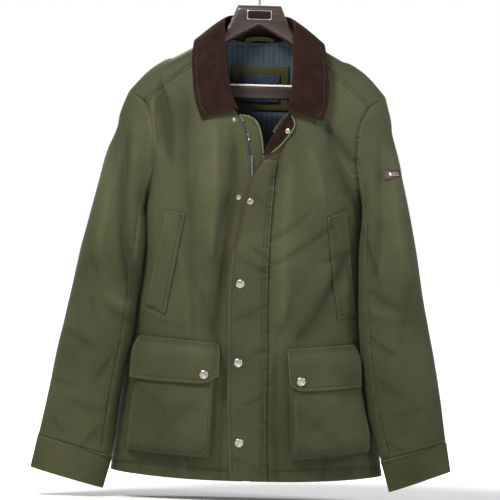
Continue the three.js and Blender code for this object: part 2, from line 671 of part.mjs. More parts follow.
const sleeves = {};
for (const [name, side] of [['right', -1], ['left', 1]]) {
  const at = sleeveSkin(side);
  const rings = Array.from({ length: SLEEVE_STEPS + 1 }, (_, i) => {
    const row = (CUFF_AT * i) / SLEEVE_STEPS;
    return Array.from({ length: AROUND }, (__, j) => at(row, j));
  });
  const loop = armholeLoop(side);
  const normals = ringNormals(rings, side);
  // the first ring stands off the panels' edge
  rings[0] = rings[0].map((point, j) => {
    const leave = rings[1][j].clone().sub(point).normalize();
    const under = clamp((Math.min(j, AROUND - j) - 8) / 3, 0, 1);
    return point.clone()
      .addScaledVector(leave, SEAM + 0.1)
      .addScaledVector(loop[j].normal, (SEAM + 0.1) * under);
  });
  // over the shoulder the sleeve's edge is square to the panels, and under the arm to the sleeve
  normals[0] = normals[0].map((normal, j) => {
    const share = clamp((Math.min(j, AROUND - j) - 6) / 4, 0, 1);
    return loop[j].normal.clone().lerp(normal, share).normalize();
  });
  const inner = rings.map((ring, i) => ring.map((p, j) => p.clone().addScaledVector(normals[i][j], -CLOTH)));
  sleeves[name] = { rings, normals, side };
  const gap = 0.012;
  const cut = (from, to) => wall(
    rings.map((ring) => arc(ring, from, to)),
    inner.map((ring) => arc(ring, from, to)),
  );
  add(`sleeve_${name}_top`, cut(-SEAM_AT + gap, SEAM_AT - gap), 'waxed');
  add(`sleeve_${name}_under`, cut(SEAM_AT + gap, AROUND - SEAM_AT - gap), 'waxedDark');

  // The cuff is a band of its own, a little wider than the sleeve's end
  const proud = 1.2;
  const from = CUFF_AT + SEAM / 50;
  const band = [0, 1, 2, 3].map((i) => (
    Array.from({ length: AROUND }, (_, j) => at(mix(from, CUFF_AT + 1, i / 3), j))
  ));
  const bandNormals = ringNormals(band, side);
  const move = (by) => band.map((ring, i) => (
    ring.map((p, j) => p.clone().addScaledVector(bandNormals[i][j], by))
  ));
  add(`cuff_${name}`, wall(move(proud), move(proud - CLOTH - 0.6), true), 'waxed');
}

// Collar: from its front end on the wearer's right, round the back, mirrored. Each row gives the seam at
// the neckline, the roll and the fall's edge, with depths from the hanger's middle, the front positive.
const COLLAR_SEAM_ROWS = [
  { at: 0, x: 42, drop: 184, y: 78 },
  { at: 1, x: 52, drop: 166, y: 76 },
  { at: 2, x: 62, drop: 134, y: 66 },
  { at: 3, x: 67, drop: 104, y: 52 },
  { at: 4, x: 71, drop: 78, y: 34 },
  { at: 5, x: 72, drop: 48.2, y: 12 },
  { at: 6, x: 66, drop: 45.2, y: -14 },
  { at: 7, x: 44, drop: 56.2, y: -32 },
  { at: 8, x: 0, drop: 63.2, y: -38 },
];
const COLLAR_ROLL_ROWS = [
  { at: 0, x: 41, drop: 181, y: 86 },
  { at: 1, x: 51, drop: 158, y: 88 },
  { at: 2, x: 56, drop: 130, y: 82 },
  { at: 3, x: 58, drop: 94, y: 68 },
  { at: 4, x: 59, drop: 58, y: 44 },
  { at: 5, x: 60, drop: 30, y: 16 },
  { at: 6, x: 55, drop: 20, y: -18 },
  { at: 7, x: 36, drop: 16, y: -38 },
  { at: 8, x: 0, drop: 14, y: -46 },
];
const COLLAR_EDGE_ROWS = [
  { at: 0, x: 104, drop: 199, y: 76 },
  { at: 1, x: 112, drop: 176, y: 73 },
  { at: 2, x: 116, drop: 142, y: 65 },
  { at: 3, x: 117, drop: 104, y: 53 },
  { at: 4, x: 114, drop: 76, y: 34 },
  { at: 5, x: 110, drop: 62, y: 9 },
  { at: 6, x: 98, drop: 62, y: -30 },
  { at: 7, x: 66, drop: 78, y: -53 },
  { at: 8, x: 0, drop: 88, y: -62 },
];
const COLLAR_LEAN = { from: 60, to: 190, shift: 9 }; // the open neck leans to the wearer's left
const COLLAR_STEPS = 32;
const COLLAR_ACROSS = 10;

const collarLines = {
  seam: columns(COLLAR_SEAM_ROWS, 'at'),
  roll: columns(COLLAR_ROLL_ROWS, 'at'),
  edge: columns(COLLAR_EDGE_ROWS, 'at'),
};

const COLLAR_TURNS_BACK = 5; // the row where the fall passes from the front to behind the neck
function collarPoint(v, u) {
  const side = u < 0.5 ? -1 : 1;
  const at = (1 - Math.abs(u - 0.5) * 2) * 8;
  const middle = at > 7.999 ? 0 : 1;
  const point = (line) => {
    const drop = line.drop(at);
    const share = (drop - COLLAR_LEAN.from) / (COLLAR_LEAN.to - COLLAR_LEAN.from);
    const lean = COLLAR_LEAN.shift * clamp(share, 0, 1);
    return place(side * middle * line.x(at) + lean, -line.y(at), drop);
  };
  const seam = point(collarLines.seam);
  const roll = point(collarLines.roll);
  const edge = point(collarLines.edge);
  const swell = Math.min(1, at / 1.5);
  // the fall lifts a little off the line from roll to edge
  const behind = at > COLLAR_TURNS_BACK;
  const out = new THREE.Vector3(side * 0.35, at < COLLAR_TURNS_BACK ? -1 : 0.2, 0.5);
  out.normalize().multiplyScalar(4 * swell + 1);
  if (behind) out.set(side * 0.3, 0.9, 0.35).normalize().multiplyScalar(4);
  const stand = seam.clone().lerp(roll, 0.6);
  const near = roll.clone().lerp(edge, 0.16).addScaledVector(out, 1);
  const far = roll.clone().lerp(edge, 0.6).addScaledVector(out, 0.6);
  return new THREE.CatmullRomCurve3([seam, stand, roll, near, far, edge]).getPoint(v);
}

// Normals of an open grid
function gridNormals(points) {
  const rows = points.length;
  return points.map((line, i) => line.map((_, j) => {
    const across = line[Math.min(j + 1, line.length - 1)].clone().sub(line[Math.max(j - 1, 0)]);
    const down = points[Math.min(i + 1, rows - 1)][j].clone().sub(points[Math.max(i - 1, 0)][j]);
    return across.cross(down).normalize();
  }));
}

function sheet(points, from, to) {
  const normals = gridNormals(points);
  const move = (by) => points.map((line, i) => (
    line.map((p, j) => p.clone().addScaledVector(normals[i][j], by))
  ));
  return wall(move(to), move(from));
}

const collarGrid = grid(COLLAR_ACROSS, COLLAR_STEPS, collarPoint);
add('collar', sheet(collarGrid, -CORDUROY / 2, CORDUROY / 2), 'corduroy');

// Depth of a front panel's own facets at a place seen from the front, or null beside them
function facetDepth(x, drop) {
  const z = place(0, 0, drop).z;
  for (const lines of frontSkins) {
    for (let i = 0; i < lines.length - 1; i += 1) {
      for (let j = 0; j < lines[0].length - 1; j += 1) {
        const [a, b, c, d] = [lines[i][j], lines[i][j + 1], lines[i + 1][j + 1], lines[i + 1][j]];
        for (const [p, q, r] of [[a, b, c], [a, c, d]]) {
          const area = (q.x - p.x) * (r.z - p.z) - (r.x - p.x) * (q.z - p.z);
          const s = ((x - p.x) * (r.z - p.z) - (r.x - p.x) * (z - p.z)) / area;
          const t = ((q.x - p.x) * (z - p.z) - (x - p.x) * (q.z - p.z)) / area;
          if (s >= 0 && t >= 0 && s + t <= 1) return p.y + s * (q.y - p.y) + t * (r.y - p.y);
        }
      }
    }
  }
  return null;
}

// A place on a front panel, from the panel's own points, moved out by an offset
function onFront(x, drop, offset) {
  const { turn, run } = coords(x, drop);
  const point = skin(1, turn, run);
  point.y = facetDepth(x, drop) ?? point.y;
  return point.addScaledVector(bodyNormal(1, turn, run), offset);
}

// A piece that lies on the front or back panel: a wall over a grid of places seen from the front
function laidOn(face, rows, cols, at, thick) {
  const skinAt = (more) => grid(rows, cols, (v, u) => {
    const { x, drop, off } = at(v, u);
    return face > 0 ? onFront(x, drop, off + more) : onBody(x, drop, off + more, face);
  });
  return wall(skinAt(thick), skinAt(0));
}

// A quadrilateral as seen from the front, by its corners
function four(a, b, c, d) {
  return (v, u) => ({
    x: mix(mix(a[0], b[0], u), mix(c[0], d[0], u), v),
    drop: mix(mix(a[1], b[1], u), mix(c[1], d[1], u), v),
  });
}

// Zip: a tape under each front's edge, and the slider where the two halves meet
const TAPE = { under: 7, out: 2.2, bottom: HEM.centre - 14 };
for (const [name, side] of [['zip_tape_right', -1], ['zip_tape_left', 1]]) {
  const rows = SEAM_ROWS.neckline;
  const geometry = laidOn(1, rows, 1, (v, u) => {
    const row = clamp(v * rows, 0.3, rows - 0.1);
    const edge = side * (frontEdgeX(row) + (side > 0 ? leftOpen(row) : 0));
    const x = edge + side * mix(TAPE.under, -TAPE.out, u);
    return { x, drop: frontEdgeDrop(row), off: -CLOTH - LAID - THIN };
  }, THIN);
  add(name, geometry, 'navy');
}

// Wind guard behind the zip on the wearer's right, with a rounded top corner
const GUARD_ROWS = [
  { drop: 190, from: -31, to: -29 },
  { drop: 193, from: -34, to: -8 },
  { drop: 203, from: -31, to: 3 },
  { drop: 220, from: -26, to: 9 },
  { drop: 245, from: -20, to: 14 },
  { drop: 330, from: -16, to: 15 },
];
const guardFrom = column(GUARD_ROWS, 'drop', 'from');
const guardTo = column(GUARD_ROWS, 'drop', 'to');
const GUARD_DEEP = CLOTH + LAID * 2 + THIN;
add('wind_guard', laidOn(1, 12, 3, (v, u) => {
  const drop = mix(190, 330, v ** 1.5);
  return { x: mix(guardFrom(drop), guardTo(drop), u), drop, off: -GUARD_DEEP - CLOTH };
}, CLOTH), 'waxed');

// Storm flap over the zip: its free edge, and the seam on the wearer's left front
const FLAP_ROWS = [
  { drop: 268, free: 14, seam: 37 },
  { drop: 294, free: -5, seam: 34 },
  { drop: 313, free: -10, seam: 33 },
  { drop: 340, free: -17, seam: 31 },
  { drop: 375, free: -24, seam: 29 },
  { drop: 422, free: -33, seam: 27 },
  { drop: 460, free: -38, seam: 26 },
  { drop: 500, free: -40, seam: 26 },
  { drop: 600, free: -39, seam: 28 },
  { drop: 700, free: -37, seam: 29 },
  { drop: 818, free: -30, seam: 33 },
];
const flapFree = column(FLAP_ROWS, 'drop', 'free');
const flapSeam = column(FLAP_ROWS, 'drop', 'seam');
const FLAP_OFF = 1.6;
const FLAP_THICK = 2.6;
add('storm_flap', laidOn(1, 22, 4, (v, u) => {
  const drop = mix(268, HEM.centre - 1, v);
  const free = flapFree(drop);
  const seam = flapSeam(drop);
  const swell = Math.sin(Math.PI * Math.min(1, u * 1.15)) * 1.5;
  return { x: mix(free, seam, u), drop, off: mix(FLAP_OFF, LAID, u ** 3) + swell };
}, FLAP_THICK), 'waxed');

// The flap's top is rolled outward and shows its corduroy facing, from the roll to the free edge
const ROLLED_ROWS = [
  { at: 0, rollX: 53, rollDrop: 192, freeX: 60, freeDrop: 191 },
  { at: 1, rollX: 43, rollDrop: 206, freeX: 67, freeDrop: 203 },
  { at: 2, rollX: 35, rollDrop: 216, freeX: 65, freeDrop: 213 },
  { at: 3, rollX: 28, rollDrop: 227, freeX: 57, freeDrop: 225 },
  { at: 4, rollX: 18, rollDrop: 245, freeX: 43, freeDrop: 243 },
  { at: 5, rollX: 11, rollDrop: 262, freeX: 25, freeDrop: 257 },
];
const rolled = columns(ROLLED_ROWS, 'at');
const ROLL_LIFT = 7;
add('flap_facing', laidOn(1, 8, 4, (v, u) => {
  const at = v * 5;
  return {
    x: mix(rolled.rollX(at), rolled.freeX(at), u),
    drop: mix(rolled.rollDrop(at), rolled.freeDrop(at), u),
    off: LAID + ROLL_LIFT * (1 - u) ** 1.5 * (1 - 0.55 * v),
  };
}, CORDUROY), 'corduroy');

// Zip slider, in the gap between the fronts where the zip's halves meet
const SLIDER = { drop: 300, width: 6, length: 12, thick: 2.6, sink: 1.44 };
add('zip_slider', laidOn(1, 2, 2, (v, u) => ({
  x: (u - 0.5) * SLIDER.width,
  drop: SLIDER.drop + v * SLIDER.length,
  off: -SLIDER.sink,
}), SLIDER.thick), 'metal');

// Bellows pockets: a tray of front and gussets on the panel, open at the top under its flap
const POCKETS = {
  right: {
    bag: { top: [[-193, 602], [-58, 606]], bottom: [[-206, 770], [-65, 779]] },
    flap: { top: [[-189, 573], [-55, 583]], bottom: [[-195, 647], [-56, 654]] },
    welt: [[-150, 358], [-117, 364], [-180, 522], [-147, 536]],
    snap: [-79, 637],
    snapSeat: 11.9,
  },
  left: {
    bag: { top: [[66, 612], [180, 604]], bottom: [[73, 780], [206, 764]] },
    flap: { top: [[62, 590], [175, 580]], bottom: [[66, 664], [179, 654]] },
    welt: [[125, 364], [157, 352], [148, 538], [177, 528]],
    snap: [85, 645],
    snapSeat: 11.5,
  },
};
const BAG = { depth: 21, topDepth: 9, thick: 1.6, sideRim: 0.05, footRim: 0.07, round: 0.45 };
const BAG_ACROSS = [0, 0.002, 0.05, 0.2, 0.4, 0.6, 0.8, 0.95, 0.998, 1];
const BAG_DOWN = [0, 0.2, 0.4, 0.6, 0.8, 0.93, 0.985, 0.998, 1, 1];
const FLAP_STEPS = 6;
const FLAP_RISE = 7.5; // the flap lies this much above the bag's top
const FLAP_CORNER = { from: 0.86, cut: 14 }; // the lower inner corner is cut off
const WELT_THICK = 1.8;
for (const [name, pocket] of Object.entries(POCKETS)) {
  const { bag, flap } = pocket;
  const middle = [...bag.top, ...bag.bottom].reduce((sum, [x]) => sum + x, 0) / 4;
  const tray = (inset) => grid(BAG_DOWN.length - 1, BAG_ACROSS.length - 1, (v, u) => {
    const across = BAG_ACROSS[Math.round(u * (BAG_ACROSS.length - 1))];
    const down = BAG_DOWN[Math.round(v * (BAG_DOWN.length - 1))];
    const at = four(...bag.top, ...bag.bottom)(down, across);
    const full = mix(BAG.topDepth, BAG.depth, Math.min(1, down * 1.5));
    const riseU = clamp(Math.min(across, 1 - across) / BAG.sideRim, 0, 1);
    const riseV = clamp((1 - down) / BAG.footRim, 0, 1);
    const lift = Math.max(full * (riseU * riseV) ** BAG.round - inset, 0);
    const x = at.x - Math.sign(at.x - middle) * inset * (1 - riseU);
    return onFront(x, at.drop - inset * (1 - riseV), LAID * 2 + lift);
  });
  add(`pocket_bag_${name}`, wall(tray(0), tray(BAG.thick)), 'waxed');

  add(`pocket_flap_${name}`, laidOn(1, FLAP_STEPS, 8, (v, u) => {
    const at = four(...flap.top, ...flap.bottom)(v, u);
    const inner = name === 'right' ? u : 1 - u;
    const corner = Math.max(0, inner - FLAP_CORNER.from) / (1 - FLAP_CORNER.from);
    const drop = at.drop - FLAP_CORNER.cut * corner * v;
    const clear = BAG.topDepth + FLAP_RISE;
    return { x: at.x, drop, off: LAID * 2 + clear * Math.sin((Math.PI / 2) * Math.min(1, v * 2.2)) };
  }, BAG.thick + 0.4), 'waxed');

  const [a, b, c, d] = pocket.welt;
  const spot = (v, u) => ({ ...four(a, b, c, d)(v, u), off: LAID });
  add(`welt_${name}`, laidOn(1, 6, 3, spot, WELT_THICK), 'waxed');
}

// Snaps: a domed ring with a sunk disc, set square to the cloth that it sits on
function snapGeometry(radius, height) {
  const profile = [
    [0, 0], [radius, 0], [radius, height * 0.35], [radius * 0.82, height], [radius * 0.6, height],
    [radius * 0.5, height * 0.6], [0, height * 0.6]].map(([x, y]) => new THREE.Vector2(x, y));
  return new THREE.LatheGeometry(profile, 10);
}

function addSnap(name, x, drop, off, size = 1) {
  const { turn, run } = coords(x, drop);
  const mesh = add(name, snapGeometry(SNAP.radius * size, SNAP.height * size), 'metal');
  mesh.position.copy(onFront(x, drop, off));
  mesh.quaternion.setFromUnitVectors(new THREE.Vector3(0, 1, 0), bodyNormal(1, turn, run));
}

const ON_FLAP = FLAP_OFF + FLAP_THICK + 1.8;
addSnap('snap_1', -7, 340, ON_FLAP, 0.72);
addSnap('snap_2', -20, 481, ON_FLAP);
addSnap('snap_3', -21, 616, ON_FLAP);
addSnap('snap_4', -16, 752, ON_FLAP);
addSnap('snap_stud_top', -38, 201, LAID, 0.42);
addSnap('snap_stud', -27, 333, LAID, 0.55);
addSnap('snap_socket', 53, 219, CORDUROY + LAID + 2.6, 0.6);
for (const [name, pocket] of Object.entries(POCKETS)) {
  addSnap(`snap_pocket_${name}`, ...pocket.snap, BAG.topDepth + pocket.snapSeat);
}

// Badge on the wearer's left sleeve, with a bare metal plate
function onSleeve(side, at, step, offset) {
  const point = sleeveSkin(side);
  const near = (da, ds) => {
    const low = point(at + da, Math.floor(step + ds));
    return low.lerp(point(at + da, Math.floor(step + ds) + 1), step + ds - Math.floor(step + ds));
  };
  const centre = near(0, 0);
  const across = near(0, 0.4).sub(near(0, -0.4));
  const down = near(0.15, 0).sub(near(-0.15, 0));
  const normal = across.cross(down).multiplyScalar(side).normalize();
  return { point: centre.addScaledVector(normal, offset), normal };
}

const BADGE = { at: 3.05, step: 2.4, width: 40, height: 16, thick: 1.6, tilt: 0.27, off: 1.3 };
const BADGE_PLATE = { width: 23, height: 7, thick: 0.9 };
{
  const middle = onSleeve(1, BADGE.at, BADGE.step, 0);
  const along = new THREE.Vector3(Math.cos(BADGE.tilt), 0, Math.sin(BADGE.tilt));
  along.addScaledVector(middle.normal, -along.dot(middle.normal)).normalize();
  const up = middle.normal.clone().cross(along);
  const side = 0.05;
  // the place on the sleeve that lies s along the badge and t up it, found in a few steps from its middle
  const laid = (s, t) => {
    let [at, step] = [BADGE.at, BADGE.step];
    const skin = (da, ds) => onSleeve(1, at + da, step + ds, 0).point;
    for (let k = 0; k < 14; k += 1) {
      const here = skin(0, 0).sub(middle.point);
      const [missAlong, missUp] = [s - here.dot(along), t - here.dot(up)];
      const byAt = skin(side, 0).sub(skin(-side, 0)).divideScalar(2 * side);
      const byStep = skin(0, side).sub(skin(0, -side)).divideScalar(2 * side);
      const [a, b, c, d] = [byAt.dot(along), byStep.dot(along), byAt.dot(up), byStep.dot(up)];
      const size = a * d - b * c;
      at += clamp((missAlong * d - missUp * b) / size, -0.2, 0.2);
      step += clamp((missUp * a - missAlong * c) / size, -0.5, 0.5);
    }
    return onSleeve(1, at, step, 0);
  };
  const slab = (name, { width, height, thick }, off, colour) => {
    const spots = grid(2, 8, (v, u) => laid((u - 0.5) * width, (0.5 - v) * height));
    const make = (rise) => spots.map((row) => (
      row.map(({ point, normal }) => point.clone().addScaledVector(normal, off + rise))
    ));
    add(name, wall(make(thick), make(0)), colour);
  };
  slab('badge', BADGE, BADGE.off, 'leather');
  slab('badge_plate', BADGE_PLATE, BADGE.off + BADGE.thick + SEAM, 'metal');
}

// Inside the back: the lining where the neck shows it, a patch, a bare label and the hanging loop
const LINING = { half: 66, top: 69, bottom: 300 };
const LINING_OFF = -CLOTH - LAID * 1.8 - THIN;
add('lining', laidOn(-1, 10, 6, (v, u) => ({
  x: mix(-LINING.half, LINING.half, u), drop: mix(LINING.top, LINING.bottom, v), off: LINING_OFF,
}), THIN), 'lining');
const PATCH_OFF = LINING_OFF - LAID - THIN;
const LABEL_OFF = PATCH_OFF - LAID - THIN;
const LOOP_DEPTH = 27;
const PATCH = { left: -46, right: 55, top: 101, bottom: 178 };
const LABEL = { left: -32, right: 40, top: 115, bottom: 164 };
add('patch', laidOn(-1, 3, 4, (v, u) => ({
  x: mix(PATCH.left, PATCH.right, u), drop: mix(PATCH.top, PATCH.bottom, v), off: PATCH_OFF,
}), THIN), 'waxed');
add('label', laidOn(-1, 2, 3, (v, u) => ({
  x: mix(LABEL.left, LABEL.right, u), drop: mix(LABEL.top, LABEL.bottom, v), off: LABEL_OFF,
}), THIN), 'navy');

// Hanger: neck and arms in one body, a section at each distance from the middle
const ARM_ROWS = [
  { x: 0, top: 0, bottom: 36, depth: NECK_HALF_DEPTH },
  { x: 18, top: 0, bottom: 45.5, depth: NECK_HALF_DEPTH },
  { x: 37, top: 0, bottom: 56, depth: NECK_HALF_DEPTH },
  { x: 42, top: 11, bottom: 59, depth: NECK_HALF_DEPTH },
  { x: 48, top: 25, bottom: 62, depth: 9.5 },
  { x: 55, top: 37, bottom: 66, depth: 10 },
  { x: 64, top: 46, bottom: 70.5, depth: 10.5 },
  { x: 75, top: 56.5, bottom: 78, depth: 9.5 },
  { x: 95, top: 65, bottom: 88, depth: 11.5 },
  { x: 115, top: 77, bottom: 100, depth: ARM_HALF_DEPTH },
  { x: 143, top: 92, bottom: 116, depth: ARM_HALF_DEPTH },
  { x: 166, top: 105, bottom: 129, depth: 9.5 },
  { x: 180, top: 115, bottom: 137, depth: 7 },
  { x: ARM_END, top: 123, bottom: 137, depth: 3.5 },
];
const ARM_FROM = 60; // beyond this the section is an arm, fuller and sunk clear of the shoulders
const ARM_SIDES = 12;
{
  const ring = ({ x, top, bottom, depth }, side) => Array.from({ length: ARM_SIDES }, (_, k) => {
    const angle = (2 * Math.PI * (k + 0.5)) / ARM_SIDES;
    const c = Math.cos(angle);
    const d = Math.sin(angle);
    const round = (t) => Math.sign(t) * Math.abs(t) ** (x > ARM_FROM ? 0.85 : 0.7);
    const sink = x > ARM_FROM ? ARM_SINK : 0;
    return place(side * x, depth * round(c), mix(top + sink, bottom + sink, 0.5 - 0.5 * round(d)));
  });
  const rows = [
    ...ARM_ROWS.slice(1).reverse().map((row) => ring(row, -1)),
    ...ARM_ROWS.map((row) => ring(row, 1)),
  ];
  add('hanger', closedLoft(rows), 'wood');
}

// A loft closed at both ends by a fan
function closedLoft(rings) {
  const n = rings[0].length;
  const middle = (ring) => ring.reduce((sum, p) => sum.add(p), new THREE.Vector3()).divideScalar(n);
  const points = [...rings.flat(), middle(rings[0]), middle(rings[rings.length - 1])];
  const first = rings.length * n;
  const index = [];
  for (let i = 0; i < rings.length - 1; i += 1) {
    for (let j = 0; j < n; j += 1) {
      const [a, b] = [i * n + j, i * n + ((j + 1) % n)];
      index.push(a, b, b + n, a, b + n, a + n);
    }
  }
  for (let j = 0; j < n; j += 1) {
    const base = (rings.length - 1) * n;
    index.push(first, (j + 1) % n, j, first + 1, base + j, base + ((j + 1) % n));
  }
  const geometry = new THREE.BufferGeometry();
  geometry.setAttribute('position', new THREE.Float32BufferAttribute(points.flatMap((p) => p.toArray()), 3));
  geometry.setIndex(index);
  if (volume(geometry) < 0) {
    for (let k = 0; k < index.length; k += 3) [index[k], index[k + 1]] = [index[k + 1], index[k]];
    geometry.setIndex(index);
  }
  geometry.computeVertexNormals();
  return geometry;
}

// Trouser bar between the arms, with a non-slip strip along its top
function roundBar(width, height, depth, radius) {
  const shape = new THREE.Shape();
  const [h, d] = [height / 2, depth / 2];
  shape.moveTo(-d + radius, -h);
  shape.absarc(d - radius, -h + radius, radius, -Math.PI / 2, 0);
  shape.absarc(d - radius, h - radius, radius, 0, Math.PI / 2);
  shape.absarc(-d + radius, h - radius, radius, Math.PI / 2, Math.PI);
  shape.absarc(-d + radius, -h + radius, radius, Math.PI, (3 * Math.PI) / 2);
  const geometry = new THREE.ExtrudeGeometry(shape, { depth: width, bevelEnabled: false, curveSegments: 3 });
  geometry.translate(0, 0, -width / 2);
  return geometry;
}
const alongX = new THREE.Matrix4().makeBasis(
  new THREE.Vector3(0, 1, 0), new THREE.Vector3(0, 0, 1), new THREE.Vector3(1, 0, 0),
);
const bar = add('hanger_bar', roundBar(2 * BAR.half, BAR.height, BAR.depth, 3.5), 'wood');
bar.quaternion.setFromRotationMatrix(alongX);
bar.position.copy(place(0, 0, BAR.top + BAR.height / 2));
const strip = add('bar_strip', roundBar(2 * STRIP.half, STRIP.height, STRIP.depth, 1.2), 'strip');
strip.quaternion.copy(bar.quaternion);
strip.position.copy(place(0, 0, BAR.top - SEAM - STRIP.height / 2));

const plate = add('hanger_plate', new THREE.BoxGeometry(PLATE.width, PLATE.thick, PLATE.height), 'metal');
plate.position.copy(place(0, -(NECK_HALF_DEPTH + SEAM + PLATE.thick / 2), PLATE.drop));

// Hook: a bent wire from the hanger's top, over the crown to its tip
const HOOK_BEND = { straight: 8, from: -45, to: 200, step: 27, sides: 8, steps: 30 };
{
  const middle = HOOK_WIRE / 2 - HOOK_RADIUS;
  const bend = [
    [0, -HOOK_RISE + SEAM],
    [0, -HOOK_RISE + HOOK_BEND.straight],
    [1.5, middle - HOOK_RADIUS - 5],
    [8, middle - HOOK_RADIUS],
  ];
  for (let angle = HOOK_BEND.from; angle <= HOOK_BEND.to; angle += HOOK_BEND.step) {
    const turn = (angle * Math.PI) / 180;
    bend.push([HOOK_RADIUS * Math.cos(turn), middle + HOOK_RADIUS * Math.sin(turn)]);
  }
  const path = new THREE.CatmullRomCurve3(bend.map(([x, z]) => new THREE.Vector3(x, 0, z)));
  const round = new THREE.Shape(Array.from({ length: HOOK_BEND.sides }, (_, k) => {
    const angle = (2 * k * Math.PI) / HOOK_BEND.sides;
    return new THREE.Vector2(Math.cos(angle), Math.sin(angle)).multiplyScalar(HOOK_WIRE / 2);
  }));
  const settings = { steps: HOOK_BEND.steps, bevelEnabled: false, extrudePath: path };
  add('hanger_hook', new THREE.ExtrudeGeometry(round, settings), 'metal');
}

// Hanging loop: a tape that stands in an arch inside the back neck
const LOOP = { left: -24, right: 28, foot: 66, crown: 53, width: 7, steps: 12, lean: 0.35 };
{
  const half = (LOOP.right - LOOP.left) / 2;
  const tape = (deep) => grid(LOOP.steps, 1, (v, u) => {
    const angle = Math.PI * v;
    const rise = Math.sin(angle) ** 0.6;
    const side = Math.cos(angle);
    const reach = half - (u * LOOP.width) * Math.abs(side) ** 0.5;
    const x = LOOP.left + half - reach * Math.sign(side) * Math.abs(side) ** 0.6;
    const drop = mix(LOOP.foot, LOOP.crown + u * LOOP.width, rise);
    return place(x, LOOP_DEPTH + deep + (drop - LOOP.crown) * LOOP.lean, drop);
  });
  add('hanging_loop', wall(tape(0), tape(THIN)), 'waxed');
}

export default part;
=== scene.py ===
"""A waxed cotton jacket on its wooden hanger, dressed over its solid model.

Lengths are in millimetres in the tables here and in metres in the meshes. The front faces -Y, the wearer's left
is at +X and +Z is up. A drop is the distance below the hanger's top, as the jacket is seen from the front.
"""
from __future__ import annotations

import json
import logging
import math
from dataclasses import dataclass, field
from enum import Enum
from itertools import product
from typing import Any, Callable, Iterable, Optional, Sequence

import bmesh
import bpy
import numpy as np
from mathutils import Matrix, Vector
from mathutils.bvhtree import BVHTree
from mathutils.kdtree import KDTree

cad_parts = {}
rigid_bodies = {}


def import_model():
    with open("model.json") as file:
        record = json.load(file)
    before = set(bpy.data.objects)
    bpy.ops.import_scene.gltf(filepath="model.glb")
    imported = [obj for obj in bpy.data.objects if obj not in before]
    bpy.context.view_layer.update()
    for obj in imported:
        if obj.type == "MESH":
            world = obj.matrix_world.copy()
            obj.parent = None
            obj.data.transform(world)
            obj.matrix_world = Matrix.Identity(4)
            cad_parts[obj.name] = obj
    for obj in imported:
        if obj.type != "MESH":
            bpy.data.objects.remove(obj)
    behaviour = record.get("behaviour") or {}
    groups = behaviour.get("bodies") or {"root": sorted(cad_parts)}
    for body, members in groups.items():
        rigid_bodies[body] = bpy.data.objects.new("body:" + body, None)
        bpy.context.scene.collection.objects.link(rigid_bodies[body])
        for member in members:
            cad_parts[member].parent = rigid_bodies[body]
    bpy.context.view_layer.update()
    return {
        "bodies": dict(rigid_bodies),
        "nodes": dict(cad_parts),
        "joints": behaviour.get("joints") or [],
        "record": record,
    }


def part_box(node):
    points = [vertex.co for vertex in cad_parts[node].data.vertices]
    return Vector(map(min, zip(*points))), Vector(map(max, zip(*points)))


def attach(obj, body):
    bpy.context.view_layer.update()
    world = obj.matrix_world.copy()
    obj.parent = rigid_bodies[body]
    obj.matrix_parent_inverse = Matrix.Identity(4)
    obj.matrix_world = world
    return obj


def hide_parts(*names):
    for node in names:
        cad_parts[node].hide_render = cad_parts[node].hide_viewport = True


log = logging.getLogger("jacket")

MM = 0.001
HOOK_RISE = 60.0
CLOTH = 1.8
PRESS = 1.6  # folds are drawn this much deeper than read, since the light here is softer
Point2 = tuple[float, float]
Row = Sequence[float]


class Face(Enum):
    """The side of the jacket that a line or fold is on."""

    FRONT = 1
    BACK = -1


class Drape(Enum):
    """The field that moves a piece of cloth: the body's, a sleeve's, the collar's or none."""

    BODY = "body"
    SLEEVE = "sleeve"
    COLLAR = "collar"
    STILL = "still"


class Bead(Enum):
    """What is set out along a line."""

    STITCH = "stitch"
    BLOCK = "block"


def place(x: float, y: float, drop: float) -> Vector:
    """A point in metres from its place in millimetres."""
    return Vector((x, y, -(HOOK_RISE + drop))) * MM


def smooth(value: np.ndarray) -> np.ndarray:
    """Eases a fraction from nought to one."""
    part = np.clip(value, 0.0, 1.0)
    return part * part * (3.0 - 2.0 * part)


def linear(code: str, alpha: float = 1.0) -> tuple[float, float, float, float]:
    """Turns an sRGB hex colour to linear values.

    Args:
        code: six hex digits after a hash.
        alpha: the fourth value.

    Returns:
        Red, green, blue and alpha.
    """
    parts = [int(code[k:k + 2], 16) / 255.0 for k in (1, 3, 5)]
    red, green, blue = (p / 12.92 if p <= 0.04045 else ((p + 0.055) / 1.055) ** 2.4 for p in parts)
    return red, green, blue, alpha


def column(rows: Sequence[Row], at: int = 0, of: int = 1) -> Callable[[float], float]:
    """A straight-line curve through two columns of a table."""
    xs = [row[at] for row in rows]
    ys = [row[of] for row in rows]
    return lambda value: float(np.interp(value, xs, ys))


# Materials

def add_node(tree: bpy.types.NodeTree, kind: str, settings: Optional[dict[str, Any]] = None,
             links: Optional[dict[Any, Any]] = None) -> bpy.types.Node:
    """Adds a node.

    Args:
        tree: the tree it goes in.
        kind: its type's name in Blender.
        settings: its own properties.
        links: a value or another node's output for each input, by name or number.

    Returns:
        The new node.
    """
    made = tree.nodes.new(kind)
    for key, value in (settings or {}).items():
        setattr(made, key, value)
    for key, value in (links or {}).items():
        if isinstance(value, bpy.types.NodeSocket):
            tree.links.new(value, made.inputs[key])
        else:
            made.inputs[key].default_value = value
    return made


def ramp(tree: bpy.types.NodeTree, value: bpy.types.NodeSocket,
         stops: Sequence[tuple[float, tuple[float, float, float, float]]]) -> bpy.types.NodeSocket:
    """A colour ramp through the given stops."""
    made = add_node(tree, "ShaderNodeValToRGB", links={"Fac": value})
    steps = made.color_ramp.elements
    while len(steps) < len(stops):
        steps.new(0.5)
    for step, (where, colour) in zip(steps, stops):
        step.position = where
        step.color = colour
    return made.outputs["Color"]


